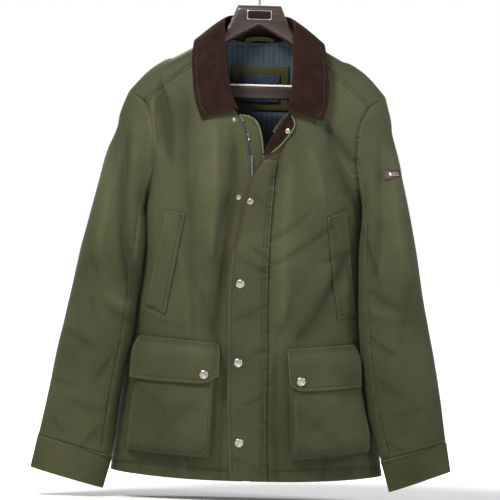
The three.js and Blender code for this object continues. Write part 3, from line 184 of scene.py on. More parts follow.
def grey(value: float) -> tuple[float, float, float, float]:
    """A grey of that linear value."""
    return value, value, value, 1.0


@dataclass(frozen=True)
class Finish:
    """A surface: its material's name, and the nodes that give it.

    A pattern's size is in millimetres and is turned to a scale on Object coordinates, which are in metres.
    """

    name: str

    def make(self) -> bpy.types.Material:
        """The material, made once."""
        known = bpy.data.materials.get(self.name)
        if known:
            return known
        material = bpy.data.materials.new(self.name)
        material.use_nodes = True
        tree = material.node_tree
        tree.nodes.clear()
        shader = add_node(tree, "ShaderNodeBsdfPrincipled")
        self.dress(tree, shader)
        add_node(tree, "ShaderNodeOutputMaterial", links={"Surface": shader.outputs[0]})
        return material

    def dress(self, tree: bpy.types.NodeTree, shader: bpy.types.Node) -> None:
        """Sets the shader's inputs."""
        raise NotImplementedError

    @staticmethod
    def where(tree: bpy.types.NodeTree, stretch: tuple[float, float, float] = (1, 1, 1)) -> bpy.types.NodeSocket:
        """Object coordinates, stretched for a grain."""
        at = add_node(tree, "ShaderNodeTexCoord").outputs["Object"]
        return add_node(tree, "ShaderNodeMapping", links={"Vector": at, "Scale": stretch}).outputs[0]

    @staticmethod
    def noise(tree: bpy.types.NodeTree, at: bpy.types.NodeSocket, size: float, detail: float = 3.0,
              rough: float = 0.5) -> bpy.types.NodeSocket:
        """Noise whose patches are about that many millimetres wide."""
        made = add_node(tree, "ShaderNodeTexNoise", links={
            "Vector": at, "Scale": 1000.0 / size, "Detail": detail, "Roughness": rough})
        return made.outputs[0]

    @staticmethod
    def maths(tree: bpy.types.NodeTree, kind: str, a: Any, b: Any = 0.0, clamp: bool = False) -> bpy.types.NodeSocket:
        """One step of arithmetic."""
        made = add_node(tree, "ShaderNodeMath", {"operation": kind, "use_clamp": clamp}, {0: a, 1: b})
        return made.outputs[0]

    @staticmethod
    def blend(tree: bpy.types.NodeTree, share: Any, a: Any, b: Any, kind: str = "MIX") -> bpy.types.NodeSocket:
        """Two colours mixed."""
        made = add_node(tree, "ShaderNodeMix", {"data_type": "RGBA", "blend_type": kind}, {0: share, 6: a, 7: b})
        return made.outputs[2]

    @staticmethod
    def relief(tree: bpy.types.NodeTree, height: Any, depth: float, strength: float = 1.0,
               onto: Optional[bpy.types.NodeSocket] = None) -> bpy.types.NodeSocket:
        """A bump of that depth in millimetres."""
        made = add_node(tree, "ShaderNodeBump", links={"Height": height, "Distance": depth * MM, "Strength": strength})
        if onto:
            tree.links.new(onto, made.inputs["Normal"])
        return made.outputs[0]

    @staticmethod
    def value(tree: bpy.types.NodeTree, name: str) -> bpy.types.NodeSocket:
        """A number kept on the mesh."""
        return add_node(tree, "ShaderNodeAttribute", {"attribute_name": name}).outputs["Fac"]


@dataclass(frozen=True)
class WaxedCotton(Finish):
    """Close plain-woven cotton dressed with wax: a dull, dry face that pales where the wax is worn; fold ridges are
    paled as worn wax and painted highlight, and fold troughs darkened as painted shade.
    """

    dark: str = "#32351f"
    mid: str = "#3e412a"
    pale: str = "#4a4d32"
    # pale wax where it is worn and in the slub, also laid on fold ridges as painted highlight
    rubbed_and_ridge_light: str = "#66694a"
    # dark flecks, and the painted shade laid in the fold troughs
    trough: str = "#1f2113"
    bloom: float = 110.0  # patches of thicker and thinner wax
    thread: float = 1.5  # thread spacing, drawn coarser than the real 0.4 mm so that it shows

    def dress(self, tree: bpy.types.NodeTree, shader: bpy.types.Node) -> None:
        """Wax bloom, slub, worn edges, fold ridges paled as worn wax and painted highlight, fold troughs darkened as
        painted shade, a fine weave and small wrinkles.
        """
        at = self.where(tree)
        bloom = self.noise(tree, at, self.bloom, 4.0, 0.55)
        base = ramp(tree, bloom, [(0.3, linear(self.dark)), (0.52, linear(self.mid)), (0.75, linear(self.pale))])
        slub = self.noise(tree, self.where(tree, (1.0, 1.0, 0.12)), 2.2, 2.0)
        base = self.blend(tree, self.maths(tree, "MULTIPLY", slub, 0.22), base, linear(self.rubbed_and_ridge_light))
        fleck = self.noise(tree, at, 1.6, 3.0, 0.7)
        base = self.blend(tree, self.maths(tree, "MULTIPLY", fleck, 0.42), base, linear(self.trough))
        scuff = self.noise(tree, at, 9.0, 4.0, 0.7)
        rim = self.maths(tree, "MULTIPLY", self.value(tree, "wear"), scuff)
        base = self.blend(tree, self.maths(tree, "MULTIPLY", rim, 0.4, True), base, linear(self.rubbed_and_ridge_light))
        # Fold ridges are paled, partly as worn wax and partly as painted highlight; fold troughs are darkened as
        # painted shade.
        crest = self.maths(tree, "MULTIPLY", self.value(tree, "crest"), 0.3, True)
        base = self.blend(tree, crest, base, linear(self.rubbed_and_ridge_light))
        painted_crease_shade = self.maths(tree, "MULTIPLY", self.value(tree, "crest"), -0.5, True)
        base = self.blend(tree, painted_crease_shade, base, linear(self.trough))
        tree.links.new(base, shader.inputs["Base Color"])
        rough = add_node(tree, "ShaderNodeMapRange", links={"Value": bloom, 3: 0.52, 4: 0.68})
        tree.links.new(rough.outputs[0], shader.inputs["Roughness"])
        warp = add_node(tree, "ShaderNodeTexWave", {"bands_direction": "X"}, {
            "Vector": at, "Scale": 1000.0 / self.thread / 20.0 * math.pi, "Distortion": 0.4, "Detail": 1.0})
        weft = add_node(tree, "ShaderNodeTexWave", {"bands_direction": "Z"}, {
            "Vector": at, "Scale": 1000.0 / self.thread / 20.0 * math.pi, "Distortion": 0.4, "Detail": 1.0})
        weave = self.maths(tree, "ADD", warp.outputs["Fac"], weft.outputs["Fac"])
        crumple = add_node(tree, "ShaderNodeTexNoise", {"noise_type": "RIDGED_MULTIFRACTAL"}, {
            "Vector": self.where(tree, (1.0, 1.0, 0.7)), "Scale": 1000.0 / 75.0, "Detail": 2.5, "Roughness": 0.5})
        normal = self.relief(tree, crumple.outputs[0], 2.6, 0.5)
        normal = self.relief(tree, self.noise(tree, at, 26.0, 3.0, 0.55), 2.0, 0.5, normal)
        normal = self.relief(tree, self.noise(tree, at, 7.0, 3.0, 0.6), 0.6, 0.6, normal)
        normal = self.relief(tree, weave, 0.16, 0.5, normal)
        tree.links.new(normal, shader.inputs["Normal"])
        shader.inputs["Sheen Weight"].default_value = 0.05
        shader.inputs["Sheen Roughness"].default_value = 0.5
        shader.inputs["Specular IOR Level"].default_value = 0.14


@dataclass(frozen=True)
class Corduroy(Finish):
    """Needlecord: cut pile in fine wales along the collar, dark in the valleys, with a soft glow at a slant."""

    ground: str = "#120906"
    pile: str = "#23130e"
    tip: str = "#351e18"
    wale: float = 2.6  # the real 1.2 mm, drawn coarser so that it shows

    def dress(self, tree: bpy.types.NodeTree, shader: bpy.types.Node) -> None:
        """Wales by their distance from the free edge, with nap that is brushed unevenly."""
        at = self.where(tree)
        turn = self.maths(tree, "MULTIPLY", self.value(tree, "wale"), 2.0 * math.pi / self.wale)
        wave = self.maths(tree, "SINE", turn)
        ridge = self.maths(tree, "MULTIPLY_ADD", wave, 0.5)
        tree.nodes[-1].inputs[2].default_value = 0.5
        nap = self.noise(tree, at, 16.0, 4.0, 0.65)
        fuzz = self.noise(tree, at, 1.1, 2.0)
        base = ramp(tree, nap, [(0.3, linear(self.ground)), (0.55, linear(self.pile)), (0.8, linear(self.tip))])
        valley = self.maths(tree, "MULTIPLY", self.maths(tree, "SUBTRACT", 1.0, ridge), 0.5)
        base = self.blend(tree, valley, base, linear(self.ground))
        base = self.blend(tree, self.maths(tree, "MULTIPLY", fuzz, 0.25), base, linear(self.tip))
        rim = self.maths(tree, "MULTIPLY", self.value(tree, "wear"), 0.35)
        base = self.blend(tree, rim, base, linear(self.tip))
        tree.links.new(base, shader.inputs["Base Color"])
        normal = self.relief(tree, ridge, 0.5, 0.7)
        normal = self.relief(tree, fuzz, 0.3, 0.5, normal)
        tree.links.new(normal, shader.inputs["Normal"])
        shader.inputs["Roughness"].default_value = 0.95
        shader.inputs["Sheen Weight"].default_value = 0.22
        shader.inputs["Sheen Roughness"].default_value = 0.35
        shader.inputs["Sheen Tint"].default_value = linear("#8a5a48")
        shader.inputs["Specular IOR Level"].default_value = 0.15


@dataclass(frozen=True)
class StripedLining(Finish):
    """Light plain cotton, yarn-dyed in narrow slate and navy stripes that run down the garment."""

    slate: str = "#42525f"
    navy: str = "#384653"
    stripe: float = 4.5

    def dress(self, tree: bpy.types.NodeTree, shader: bpy.types.Node) -> None:
        """Stripes across X, softened by the weave."""
        at = self.where(tree)
        band = add_node(tree, "ShaderNodeTexWave", {"bands_direction": "X"}, {
            "Vector": at, "Scale": 1000.0 / self.stripe / 20.0 * math.pi, "Distortion": 0.5, "Detail": 1.5})
        cloud = self.noise(tree, at, 30.0, 3.0)
        base = ramp(tree, band.outputs["Fac"], [(0.35, linear(self.navy)), (0.6, linear(self.slate))])
        base = self.blend(tree, self.maths(tree, "MULTIPLY", cloud, 0.45), base, linear(self.navy))
        tree.links.new(base, shader.inputs["Base Color"])
        weave = self.noise(tree, self.where(tree, (1.0, 1.0, 0.3)), 1.2, 2.0)
        tree.links.new(self.relief(tree, weave, 0.2, 0.4), shader.inputs["Normal"])
        shader.inputs["Roughness"].default_value = 0.82
        shader.inputs["Sheen Weight"].default_value = 0.1
        shader.inputs["Specular IOR Level"].default_value = 0.25


@dataclass(frozen=True)
class WovenTape(Finish):
    """Close polyester tape: a fine rib across its width."""

    dark: str = "#1c2434"
    pale: str = "#313c52"
    rib: float = 1.4

    def dress(self, tree: bpy.types.NodeTree, shader: bpy.types.Node) -> None:
        """Ribs by height, with a little fading."""
        at = self.where(tree)
        rib = add_node(tree, "ShaderNodeTexWave", {"bands_direction": "Z"}, {
            "Vector": at, "Scale": 1000.0 / self.rib / 20.0 * math.pi, "Distortion": 0.3})
        fade = self.noise(tree, at, 14.0, 3.0)
        base = ramp(tree, fade, [(0.3, linear(self.dark)), (0.7, linear(self.pale))])
        base = self.blend(tree, self.maths(tree, "MULTIPLY", rib.outputs["Fac"], 0.3), base, linear(self.pale))
        tree.links.new(base, shader.inputs["Base Color"])
        tree.links.new(self.relief(tree, rib.outputs["Fac"], 0.25, 0.5), shader.inputs["Normal"])
        shader.inputs["Roughness"].default_value = 0.7
        shader.inputs["Specular IOR Level"].default_value = 0.3


@dataclass(frozen=True)
class SatinNickel(Finish):
    """Nickel-plated brass, tumbled: bright, a little warm, with fine handling marks."""

    pale: str = "#d6d4cf"
    dull: str = "#a9a69e"
    field: str = "#3b322d"  # the dark ground inside a plate's frame

    def dress(self, tree: bpy.types.NodeTree, shader: bpy.types.Node) -> None:
        """Clouded plating and soft scratches."""
        at = self.where(tree)
        cloud = self.noise(tree, at, 5.0, 4.0, 0.6)
        base = ramp(tree, cloud, [(0.35, linear(self.dull)), (0.65, linear(self.pale))])
        base = self.blend(tree, self.value(tree, "field"), base, linear(self.field))
        tree.links.new(base, shader.inputs["Base Color"])
        rough = add_node(tree, "ShaderNodeMapRange", links={"Value": cloud, 3: 0.38, 4: 0.22})
        tree.links.new(rough.outputs[0], shader.inputs["Roughness"])
        marks = self.noise(tree, self.where(tree, (1.0, 1.0, 0.2)), 0.8, 2.0)
        tree.links.new(self.relief(tree, marks, 0.05, 0.3), shader.inputs["Normal"])
        shader.inputs["Metallic"].default_value = 1.0


@dataclass(frozen=True)
class Hide(Finish):
    """Vegetable-tanned leather with a fine pebbled grain, darker at its cut edge."""

    dark: str = "#2c1a14"
    mid: str = "#4a2d22"
    pale: str = "#674536"

    def dress(self, tree: bpy.types.NodeTree, shader: bpy.types.Node) -> None:
        """Pebble grain, pull-up colour and a burnished edge."""
        at = self.where(tree)
        pebble = add_node(tree, "ShaderNodeTexVoronoi", {"feature": "SMOOTH_F1"}, {"Vector": at, "Scale": 1000.0 / 1.6})
        cloud = self.noise(tree, at, 8.0, 4.0)
        base = ramp(tree, cloud, [(0.3, linear(self.dark)), (0.55, linear(self.mid)), (0.8, linear(self.pale))])
        base = self.blend(tree, self.maths(tree, "MULTIPLY", self.value(tree, "wear"), 0.5), base, linear(self.dark))
        tree.links.new(base, shader.inputs["Base Color"])
        tree.links.new(self.relief(tree, pebble.outputs["Distance"], 0.3, 0.5), shader.inputs["Normal"])
        shader.inputs["Roughness"].default_value = 0.5


@dataclass(frozen=True)
class StainedWood(Finish):
    """Beech stained dark brown and lacquered: long fine grain under a satin coat."""

    dark: str = "#1b110e"
    mid: str = "#33211b"
    pale: str = "#4f3932"

    def dress(self, tree: bpy.types.NodeTree, shader: bpy.types.Node) -> None:
        """Grain along the hanger, broken by short pores."""
        at = self.where(tree, (0.08, 1.0, 1.0))
        grain = self.noise(tree, at, 7.0, 5.0, 0.6)
        pores = self.noise(tree, self.where(tree, (0.15, 1.0, 1.0)), 0.9, 2.0)
        base = ramp(tree, grain, [(0.28, linear(self.dark)), (0.55, linear(self.mid)), (0.8, linear(self.pale))])
        base = self.blend(tree, self.maths(tree, "MULTIPLY", pores, 0.3), base, linear(self.dark))
        base = self.blend(tree, self.maths(tree, "MULTIPLY", self.value(tree, "wear"), 0.25), base, linear(self.pale))
        tree.links.new(base, shader.inputs["Base Color"])
        tree.links.new(self.relief(tree, pores, 0.08, 0.3), shader.inputs["Normal"])
        shader.inputs["Roughness"].default_value = 0.42
        shader.inputs["Coat Weight"].default_value = 0.25
        shader.inputs["Coat Roughness"].default_value = 0.22


@dataclass(frozen=True)
class RibbedPlastic(Finish):
    """Soft pale vinyl, extruded with ribs: slightly waxy and see-through at its edges."""

    pale: str = "#f7f5f0"
    dull: str = "#e4e0d6"

    def dress(self, tree: bpy.types.NodeTree, shader: bpy.types.Node) -> None:
        """A clouded pale body."""
        at = self.where(tree)
        cloud = self.noise(tree, at, 6.0, 3.0)
        tree.links.new(ramp(tree, cloud, [(0.3, linear(self.dull)), (0.7, linear(self.pale))]),
                       shader.inputs["Base Color"])
        tree.links.new(self.relief(tree, self.noise(tree, at, 1.0, 2.0), 0.06, 0.3), shader.inputs["Normal"])
        shader.inputs["Roughness"].default_value = 0.45
        shader.inputs["Subsurface Weight"].default_value = 0.1
        shader.inputs["Subsurface Scale"].default_value = 0.002


@dataclass(frozen=True)
class Yarn(Finish):
    """Twisted sewing thread or covered cord, with the twist as a slanted rib."""

    pale: str = "#26291a"
    dark: str = "#15170c"
    twist: float = 0.8

    def dress(self, tree: bpy.types.NodeTree, shader: bpy.types.Node) -> None:
        """Slanted twist and a little fluff."""
        at = self.where(tree)
        twist = add_node(tree, "ShaderNodeTexWave", {"bands_direction": "DIAGONAL"}, {
            "Vector": at, "Scale": 1000.0 / self.twist / 20.0 * math.pi, "Distortion": 1.0})
        base = ramp(tree, twist.outputs["Fac"], [(0.2, linear(self.dark)), (0.6, linear(self.pale))])
        fluff = self.noise(tree, at, 3.0, 2.0)
        base = self.blend(tree, self.maths(tree, "MULTIPLY", fluff, 0.3), base, linear(self.dark))
        tree.links.new(base, shader.inputs["Base Color"])
        tree.links.new(self.relief(tree, twist.outputs["Fac"], 0.1, 0.4), shader.inputs["Normal"])
        shader.inputs["Roughness"].default_value = 0.75


@dataclass(frozen=True)
class StudioPaper(Finish):
    """White background paper with a painted glow of its own that keeps it white all round the jacket and fades under
    it, adding painted shade to the real shadow there.
    """

    glow: float = 1.0
    near: float = 0.45  # metres from the middle where its own light begins
    far: float = 1.1

    def dress(self, tree: bpy.types.NodeTree, shader: bpy.types.Node) -> None:
        """A plain white with a faint paper tooth, and its painted glow."""
        tooth = self.noise(tree, self.where(tree), 5.0, 2.0)
        tree.links.new(ramp(tree, tooth, [(0.0, grey(0.84)), (1.0, grey(0.9))]), shader.inputs["Base Color"])
        shader.inputs["Roughness"].default_value = 1.0
        shader.inputs["Specular IOR Level"].default_value = 0.0
        # A painted glow, faint near the middle and full further out, so that the paper under the jacket is darker:
        # painted shade on top of the real shadow.
        away = add_node(tree, "ShaderNodeVectorMath", {"operation": "LENGTH"}, {
            0: self.where(tree, (0.8, 1.0, 0.0))})
        painted_glow = add_node(tree, "ShaderNodeMapRange", {"interpolation_type": "SMOOTHSTEP"}, {
            "Value": away.outputs["Value"], 1: self.near, 2: self.far, 3: 0.1, 4: self.glow})
        tree.links.new(painted_glow.outputs[0], shader.inputs["Emission Strength"])
        shader.inputs["Emission Color"].default_value = grey(1.0)


WAXED = WaxedCotton("waxed_cotton_olive")
# A darker copy of the same waxed cotton for the back and the under-sleeves, which face away from the light: painted
# shade.
WAXED_SHADED = WaxedCotton("waxed_cotton_olive_shaded", dark="#2f321e", mid="#3a3d28", pale="#454830")
CORD = Corduroy("needlecord_brown")
LINING = StripedLining("striped_cotton_lining")
TAPE = WovenTape("woven_tape_navy")
LABEL = WovenTape("woven_label_navy", dark="#222c40", pale="#37445e", rib=1.0)
NICKEL = SatinNickel("nickel_plated_brass")
LEATHER = Hide("leather_brown")
WOOD = StainedWood("stained_beech_lacquered")
STRIP = RibbedPlastic("vinyl_strip_pale")
THREAD = Yarn("sewing_thread_olive")
THREAD_BROWN = Yarn("sewing_thread_brown", pale="#3a2620", dark="#1a0f0c")
PIPING = Yarn("piping_pale_green", pale="#6d7250", dark="#50553a", twist=1.6)
PIPING_BROWN = Yarn("piping_brown", pale="#38201a", dark="#281610", twist=1.6)
PAPER = StudioPaper("studio_paper_white")


# The forms that move the cloth

@dataclass(frozen=True)
class Crease:
    """A fold, given as a line seen from the front: rise over nought is a ridge, under it a trough."""

    start: Point2
    end: Point2
    width: float
    rise: float
    bow: float = 0.0
    face: Face = Face.FRONT

    def height(self, x: np.ndarray, drop: np.ndarray) -> np.ndarray:
        """Lift at each place, in millimetres."""
        line = np.array([self.end[0] - self.start[0], self.end[1] - self.start[1]], float)
        length = float(np.hypot(*line))
        line /= length
        along = (x - self.start[0]) * line[0] + (drop - self.start[1]) * line[1]
        part = np.clip(along / length, 0.0, 1.0)
        off = (drop - self.start[1]) * line[0] - (x - self.start[0]) * line[1] - self.bow * 4.0 * part * (1.0 - part)
        wide = self.width * (0.6 + 0.4 * np.sin(math.pi * part))
        lean = np.where(off > 0, 1.3, 0.8)
        fade = min(40.0, length * 0.35)
        ends = smooth((along + fade) / fade / 1.6) * smooth((length + fade - along) / fade / 1.6)
        return self.rise * PRESS * np.exp(-np.abs(off / (wide * lean)) ** 1.6) * ends


@dataclass(frozen=True)
class SeamLine:
    """A sewn line: the cloth sinks along it and ripples beside it, unevenly."""

    points: tuple[Point2, ...]
    sink: float = 0.9
    pucker: float = 0.5
    pitch: float = 12.0
    reach: float = 9.0
    face: Face = Face.FRONT

    def height(self, x: np.ndarray, drop: np.ndarray) -> np.ndarray:
        """Lift at each place, in millimetres."""
        out = np.zeros_like(x)
        bend = round_corners(self.points, 2)
        low = [min(p[k] for p in bend) - 3 * self.reach for k in (0, 1)]
        high = [max(p[k] for p in bend) + 3 * self.reach for k in (0, 1)]
        near = (x > low[0]) & (x < high[0]) & (drop > low[1]) & (drop < high[1])
        if not near.any():
            return out
        px, pd = x[near], drop[near]
        best = np.full(px.shape, 1e9)
        run = np.zeros_like(px)
        past = 0.0
        for (x0, d0), (x1, d1) in zip(bend, bend[1:]):
            length = math.hypot(x1 - x0, d1 - d0)
            part = np.clip(((px - x0) * (x1 - x0) + (pd - d0) * (d1 - d0)) / max(length * length, 1e-9), 0.0, 1.0)
            away = np.hypot(px - x0 - part * (x1 - x0), pd - d0 - part * (d1 - d0))
            closer = away < best
            best = np.where(closer, away, best)
            run = np.where(closer, past + part * length, run)
            past += length
        phase = 2.0 * math.pi * run / self.pitch
        wave = np.sin(phase + 1.5 * np.sin(phase / 3.7)) * (0.55 + 0.45 * np.sin(phase / 2.3 + 1.0))
        groove = -self.sink * np.exp(-(best / 3.2) ** 2)
        out[near] = (groove + self.pucker * wave * np.exp(-(best / self.reach) ** 2)) * PRESS
        return out


def round_corners(points: Sequence[Point2], times: int) -> list[Point2]:
    """Cuts the corners of a line, its ends kept."""
    line = list(points)
    for _ in range(times):
        cut = [line[0]]
        for (x0, d0), (x1, d1) in zip(line, line[1:]):
            cut += [(x0 * 0.75 + x1 * 0.25, d0 * 0.75 + d1 * 0.25), (x0 * 0.25 + x1 * 0.75, d0 * 0.25 + d1 * 0.75)]
        line = cut + [line[-1]]
    return line


def respace(points: Sequence[Point2], step: float) -> list[Point2]:
    """Points at even steps along a line."""
    flat = np.array(points, float)
    run = np.concatenate([[0.0], np.cumsum(np.hypot(*np.diff(flat, axis=0).T))])
    count = max(2, int(run[-1] / step) + 1)
    at = np.linspace(0.0, run[-1], count)
    return list(zip(np.interp(at, run, flat[:, 0]).tolist(), np.interp(at, run, flat[:, 1]).tolist()))


class Swell:
    """Smooth unevenness in space, the same on each run."""

    def __init__(self, seed: int) -> None:
        """Fixes the table of slopes."""
        source = np.random.default_rng(seed)
        slopes = source.normal(size=(512, 3))
        self.slopes = slopes / np.linalg.norm(slopes, axis=1, keepdims=True)

    def at(self, points: np.ndarray, size: float) -> np.ndarray:
        """Values from about -0.7 to 0.7.

        Args:
            points: places in millimetres, one to a row.
            size: the width of one swell in millimetres.

        Returns:
            One value for each place.
        """
        scaled = points / size
        cell = np.floor(scaled).astype(np.int64)
        inside = scaled - cell
        ease = inside ** 3 * (inside * (inside * 6.0 - 15.0) + 10.0)
        total = np.zeros(len(points))
        for corner in product((0, 1), repeat=3):
            spot = cell + np.array(corner)
            pick = (spot[:, 0] * 73856093 ^ spot[:, 1] * 19349663 ^ spot[:, 2] * 83492791) % 512
            reach = ((inside - np.array(corner)) * self.slopes[pick]).sum(axis=1)
            weight = np.where(np.array(corner) == 1, ease, 1.0 - ease).prod(axis=1)
            total += weight * reach
        return total


ARMHOLE = ((221, 153), (208, 162), (194, 171), (185, 188), (177, 212), (175, 240), (176, 277), (178, 304),
           (184, 330), (190, 345))
SHOULDER_SEAM = ((78, 70), (114, 105), (142, 126), (166, 144), (192, 169))
FLAP_ROWS = ((268, 14, 37), (294, -5, 34), (313, -10, 33), (340, -17, 31), (375, -24, 29), (422, -33, 27),
             (460, -38, 26), (500, -40, 26), (600, -39, 28), (700, -37, 29), (817, -30, 33))
SLEEVE_SEAM_RIGHT = ((-198.7, 373.8), (-203.4, 450.5), (-214.8, 526), (-221.7, 586), (-231.7, 636), (-239.7, 685.6),
                     (-245.3, 732.3), (-250, 762))
SLEEVE_SEAM_LEFT = ((192, 372), (191.3, 403), (193.5, 449), (197.8, 521), (203.8, 581), (209.5, 631), (218.5, 684),
                    (229, 730), (240, 764))


def mirrored(points: Iterable[Point2]) -> tuple[Point2, ...]:
    """The same line on the wearer's right."""
    return tuple((-x, drop) for x, drop in points)


def flap_line(inset: float, seam: bool, start: float = 300.0, end: float = 812.0) -> tuple[Point2, ...]:
    """A line down the storm flap, that far in from its seam or from its free edge."""
    edge = column(FLAP_ROWS, 0, 2 if seam else 1)
    step = -inset if seam else inset
    return tuple((edge(drop) + step, float(drop)) for drop in np.arange(start, end, 12.0))


BODY_CREASES: tuple[Crease, ...] = (
    # wearer's right front
    Crease((-178, 165), (-172, 245), 8, 3.2, 2),
    Crease((-168, 148), (-149, 262), 10, -4.2, -4),
    Crease((-122, 172), (-112, 360), 13, -2.6, 5),
    Crease((-66, 236), (-70, 430), 10, 2.4, -3),
    Crease((-104, 300), (-98, 560), 10, -1.8, 6),
    Crease((-38, 238), (-52, 470), 11, -4.2, -5),
    Crease((-50, 470), (-56, 600), 9, -2.4, 3),
    Crease((-44, 336), (-62, 430), 6, -1.8, 3),
    Crease((-46, 450), (-66, 565), 7, -1.6, -3),
    Crease((-60, 580), (-94, 492), 8, -2.0, 4),
    Crease((-44, 660), (-47, 806), 7, -2.0),
    Crease((-126, 430), (-108, 560), 9, 1.6, -4),
    Crease((-180, 540), (-120, 556), 8, -1.6, 3),
    Crease((-108, 784), (-104, 820), 7, 1.8),
    Crease((-180, 780), (-186, 816), 8, -1.6),
    Crease((-90, 690), (-150, 745), 10, -1.5, 5),
    Crease((-200, 660), (-150, 700), 9, -1.2, -4),
    # wearer's left front
    Crease((110, 190), (174, 266), 9, -4.0, 4),
    Crease((126, 214), (174, 334), 11, -4.2, 5),
    Crease((116, 200), (172, 300), 6, 2.2, 4),
    Crease((51, 204), (34, 300), 7, -2.8, -2),
    Crease((30, 406), (88, 362), 6, -2.2, 3),
    Crease((31, 449), (126, 386), 7, -2.4, 4),
    Crease((62, 290), (56, 540), 14, 2.6, 4),
    Crease((83, 572), (140, 474), 15, -4.2, 6),
    Crease((136, 484), (160, 432), 12, -3.0),
    Crease((118, 440), (178, 414), 6, -1.7, 2),
    Crease((48, 566), (70, 500), 7, -1.6, 3),
    Crease((46, 600), (52, 806), 7, -2.0, 3),
    Crease((96, 250), (118, 330), 10, 2.0, -3),
    Crease((132, 772), (128, 818), 8, -1.8),
    Crease((190, 770), (186, 808), 7, 1.4),
    Crease((80, 700), (160, 760), 10, -1.5, -5),
    Crease((170, 680), (110, 730), 9, -1.2, 4),
    # storm flap
    Crease((-2, 417), (31, 442), 5, -1.8, 1),
    Crease((-22, 437), (28, 462), 8, -2.0, 3),
    Crease((-1, 607), (22, 592), 5, -1.4),
    Crease((-10, 690), (20, 677), 5, -1.4),
    Crease((-32, 545), (18, 522), 6, -1.1, 2),
    Crease((-26, 782), (16, 796), 6, -1.1),
    Crease((2, 330), (27, 352), 5, -1.6, 1),
    # back
    Crease((-112, 300), (-104, 770), 16, 3.0, 6, Face.BACK),
    Crease((-40, 320), (-52, 806), 12, -3.4, 5, Face.BACK),
    Crease((58, 300), (66, 806), 13, -3.0, -6, Face.BACK),
    Crease((130, 420), (120, 800), 12, 2.4, 4, Face.BACK),
    Crease((-172, 330), (-96, 246), 10, -3.6, 5, Face.BACK),
    Crease((-178, 300), (-120, 222), 7, 2.0, 4, Face.BACK),
    Crease((172, 326), (94, 240), 10, -3.6, -5, Face.BACK),
    Crease((176, 290), (124, 214), 7, 2.0, -4, Face.BACK),
    Crease((-64, 176), (60, 190), 11, -2.0, 6, Face.BACK),
    Crease((-150, 470), (-62, 502), 8, -2.2, 4, Face.BACK),
    Crease((30, 486), (152, 458), 8, -2.2, 4, Face.BACK),
    Crease((-30, 566), (84, 594), 9, -1.8, -4, Face.BACK),
    Crease((-160, 640), (-90, 616), 8, -1.6, 3, Face.BACK),
    Crease((96, 664), (170, 700), 9, -1.6, 3, Face.BACK),
    Crease((-16, 740), (-10, 818), 9, 2.4, 0, Face.BACK),
    Crease((150, 740), (156, 810), 9, -2.2, 0, Face.BACK),
    Crease((-150, 730), (-158, 810), 10, -2.2, 0, Face.BACK),
)
SLEEVE_CREASES: tuple[Crease, ...] = (
    # wearer's right
    Crease((-222, 236), (-203, 497), 13, -4.6, 6),
    Crease((-183, 205), (-180, 430), 8, 2.0, 2),
    Crease((-252, 223), (-262, 420), 12, 2.6, -3),
    Crease((-277, 440), (-264, 472), 6, -1.8),
    Crease((-243, 506), (-200, 527), 8, 2.4, 3),
    Crease((-246, 528), (-204, 548), 6, -2.2, 2),
    Crease((-276, 508), (-268, 532), 5, -1.6),
    Crease((-332, 650), (-296, 662), 7, -1.8, 2),
    Crease((-262, 648), (-240, 618), 7, -2.2, 2),
    Crease((-224, 390), (-194, 478), 7, -2.8, 3),
    Crease((-280, 762), (-256, 736), 6, -1.7),
    Crease((-318, 560), (-262, 596), 9, -2.4, 5),
    Crease((-300, 690), (-252, 706), 7, -1.6, 3),
    Crease((-340, 710), (-318, 742), 7, -1.5),
    # wearer's left
    Crease((212, 250), (205, 470), 11, -2.6, -5),
    Crease((240, 260), (256, 420), 12, 2.2, 4),
    Crease((200, 486), (250, 514), 8, -2.6, 4),
    Crease((206, 520), (262, 530), 7, 2.0, 3),
    Crease((202, 566), (246, 596), 8, -2.4, 4),
    Crease((218, 640), (262, 668), 8, -2.0, 4),
    Crease((250, 700), (290, 688), 7, -1.6, 3),
    Crease((240, 748), (270, 768), 6, -1.6),
    Crease((276, 470), (262, 560), 9, -1.8, 4),
    Crease((190, 396), (214, 470), 7, -2.4, 3),
    # the hidden sides, alike but not the same
    Crease((-214, 260), (-200, 470), 12, -3.6, 6, Face.BACK),
    Crease((-240, 470), (-206, 504), 9, -3.2, 4, Face.BACK),
    Crease((-280, 520), (-216, 548), 9, -3.0, 5, Face.BACK),
    Crease((-262, 570), (-222, 592), 7, 2.2, 3, Face.BACK),
    Crease((-310, 640), (-246, 668), 8, -2.2, 4, Face.BACK),
    Crease((-320, 716), (-280, 736), 7, -1.8, 2, Face.BACK),
    Crease((-256, 250), (-270, 410), 11, 2.6, -3, Face.BACK),
    Crease((206, 260), (196, 460), 12, -3.6, -6, Face.BACK),
    Crease((236, 476), (198, 510), 9, -3.2, -4, Face.BACK),
    Crease((276, 530), (206, 560), 9, -3.0, -5, Face.BACK),
    Crease((250, 590), (212, 606), 7, 2.0, -3, Face.BACK),
    Crease((296, 650), (232, 680), 8, -2.2, -4, Face.BACK),
    Crease((310, 724), (270, 740), 7, -1.8, -2, Face.BACK),
    Crease((246, 262), (262, 416), 11, 2.4, 3, Face.BACK),
)
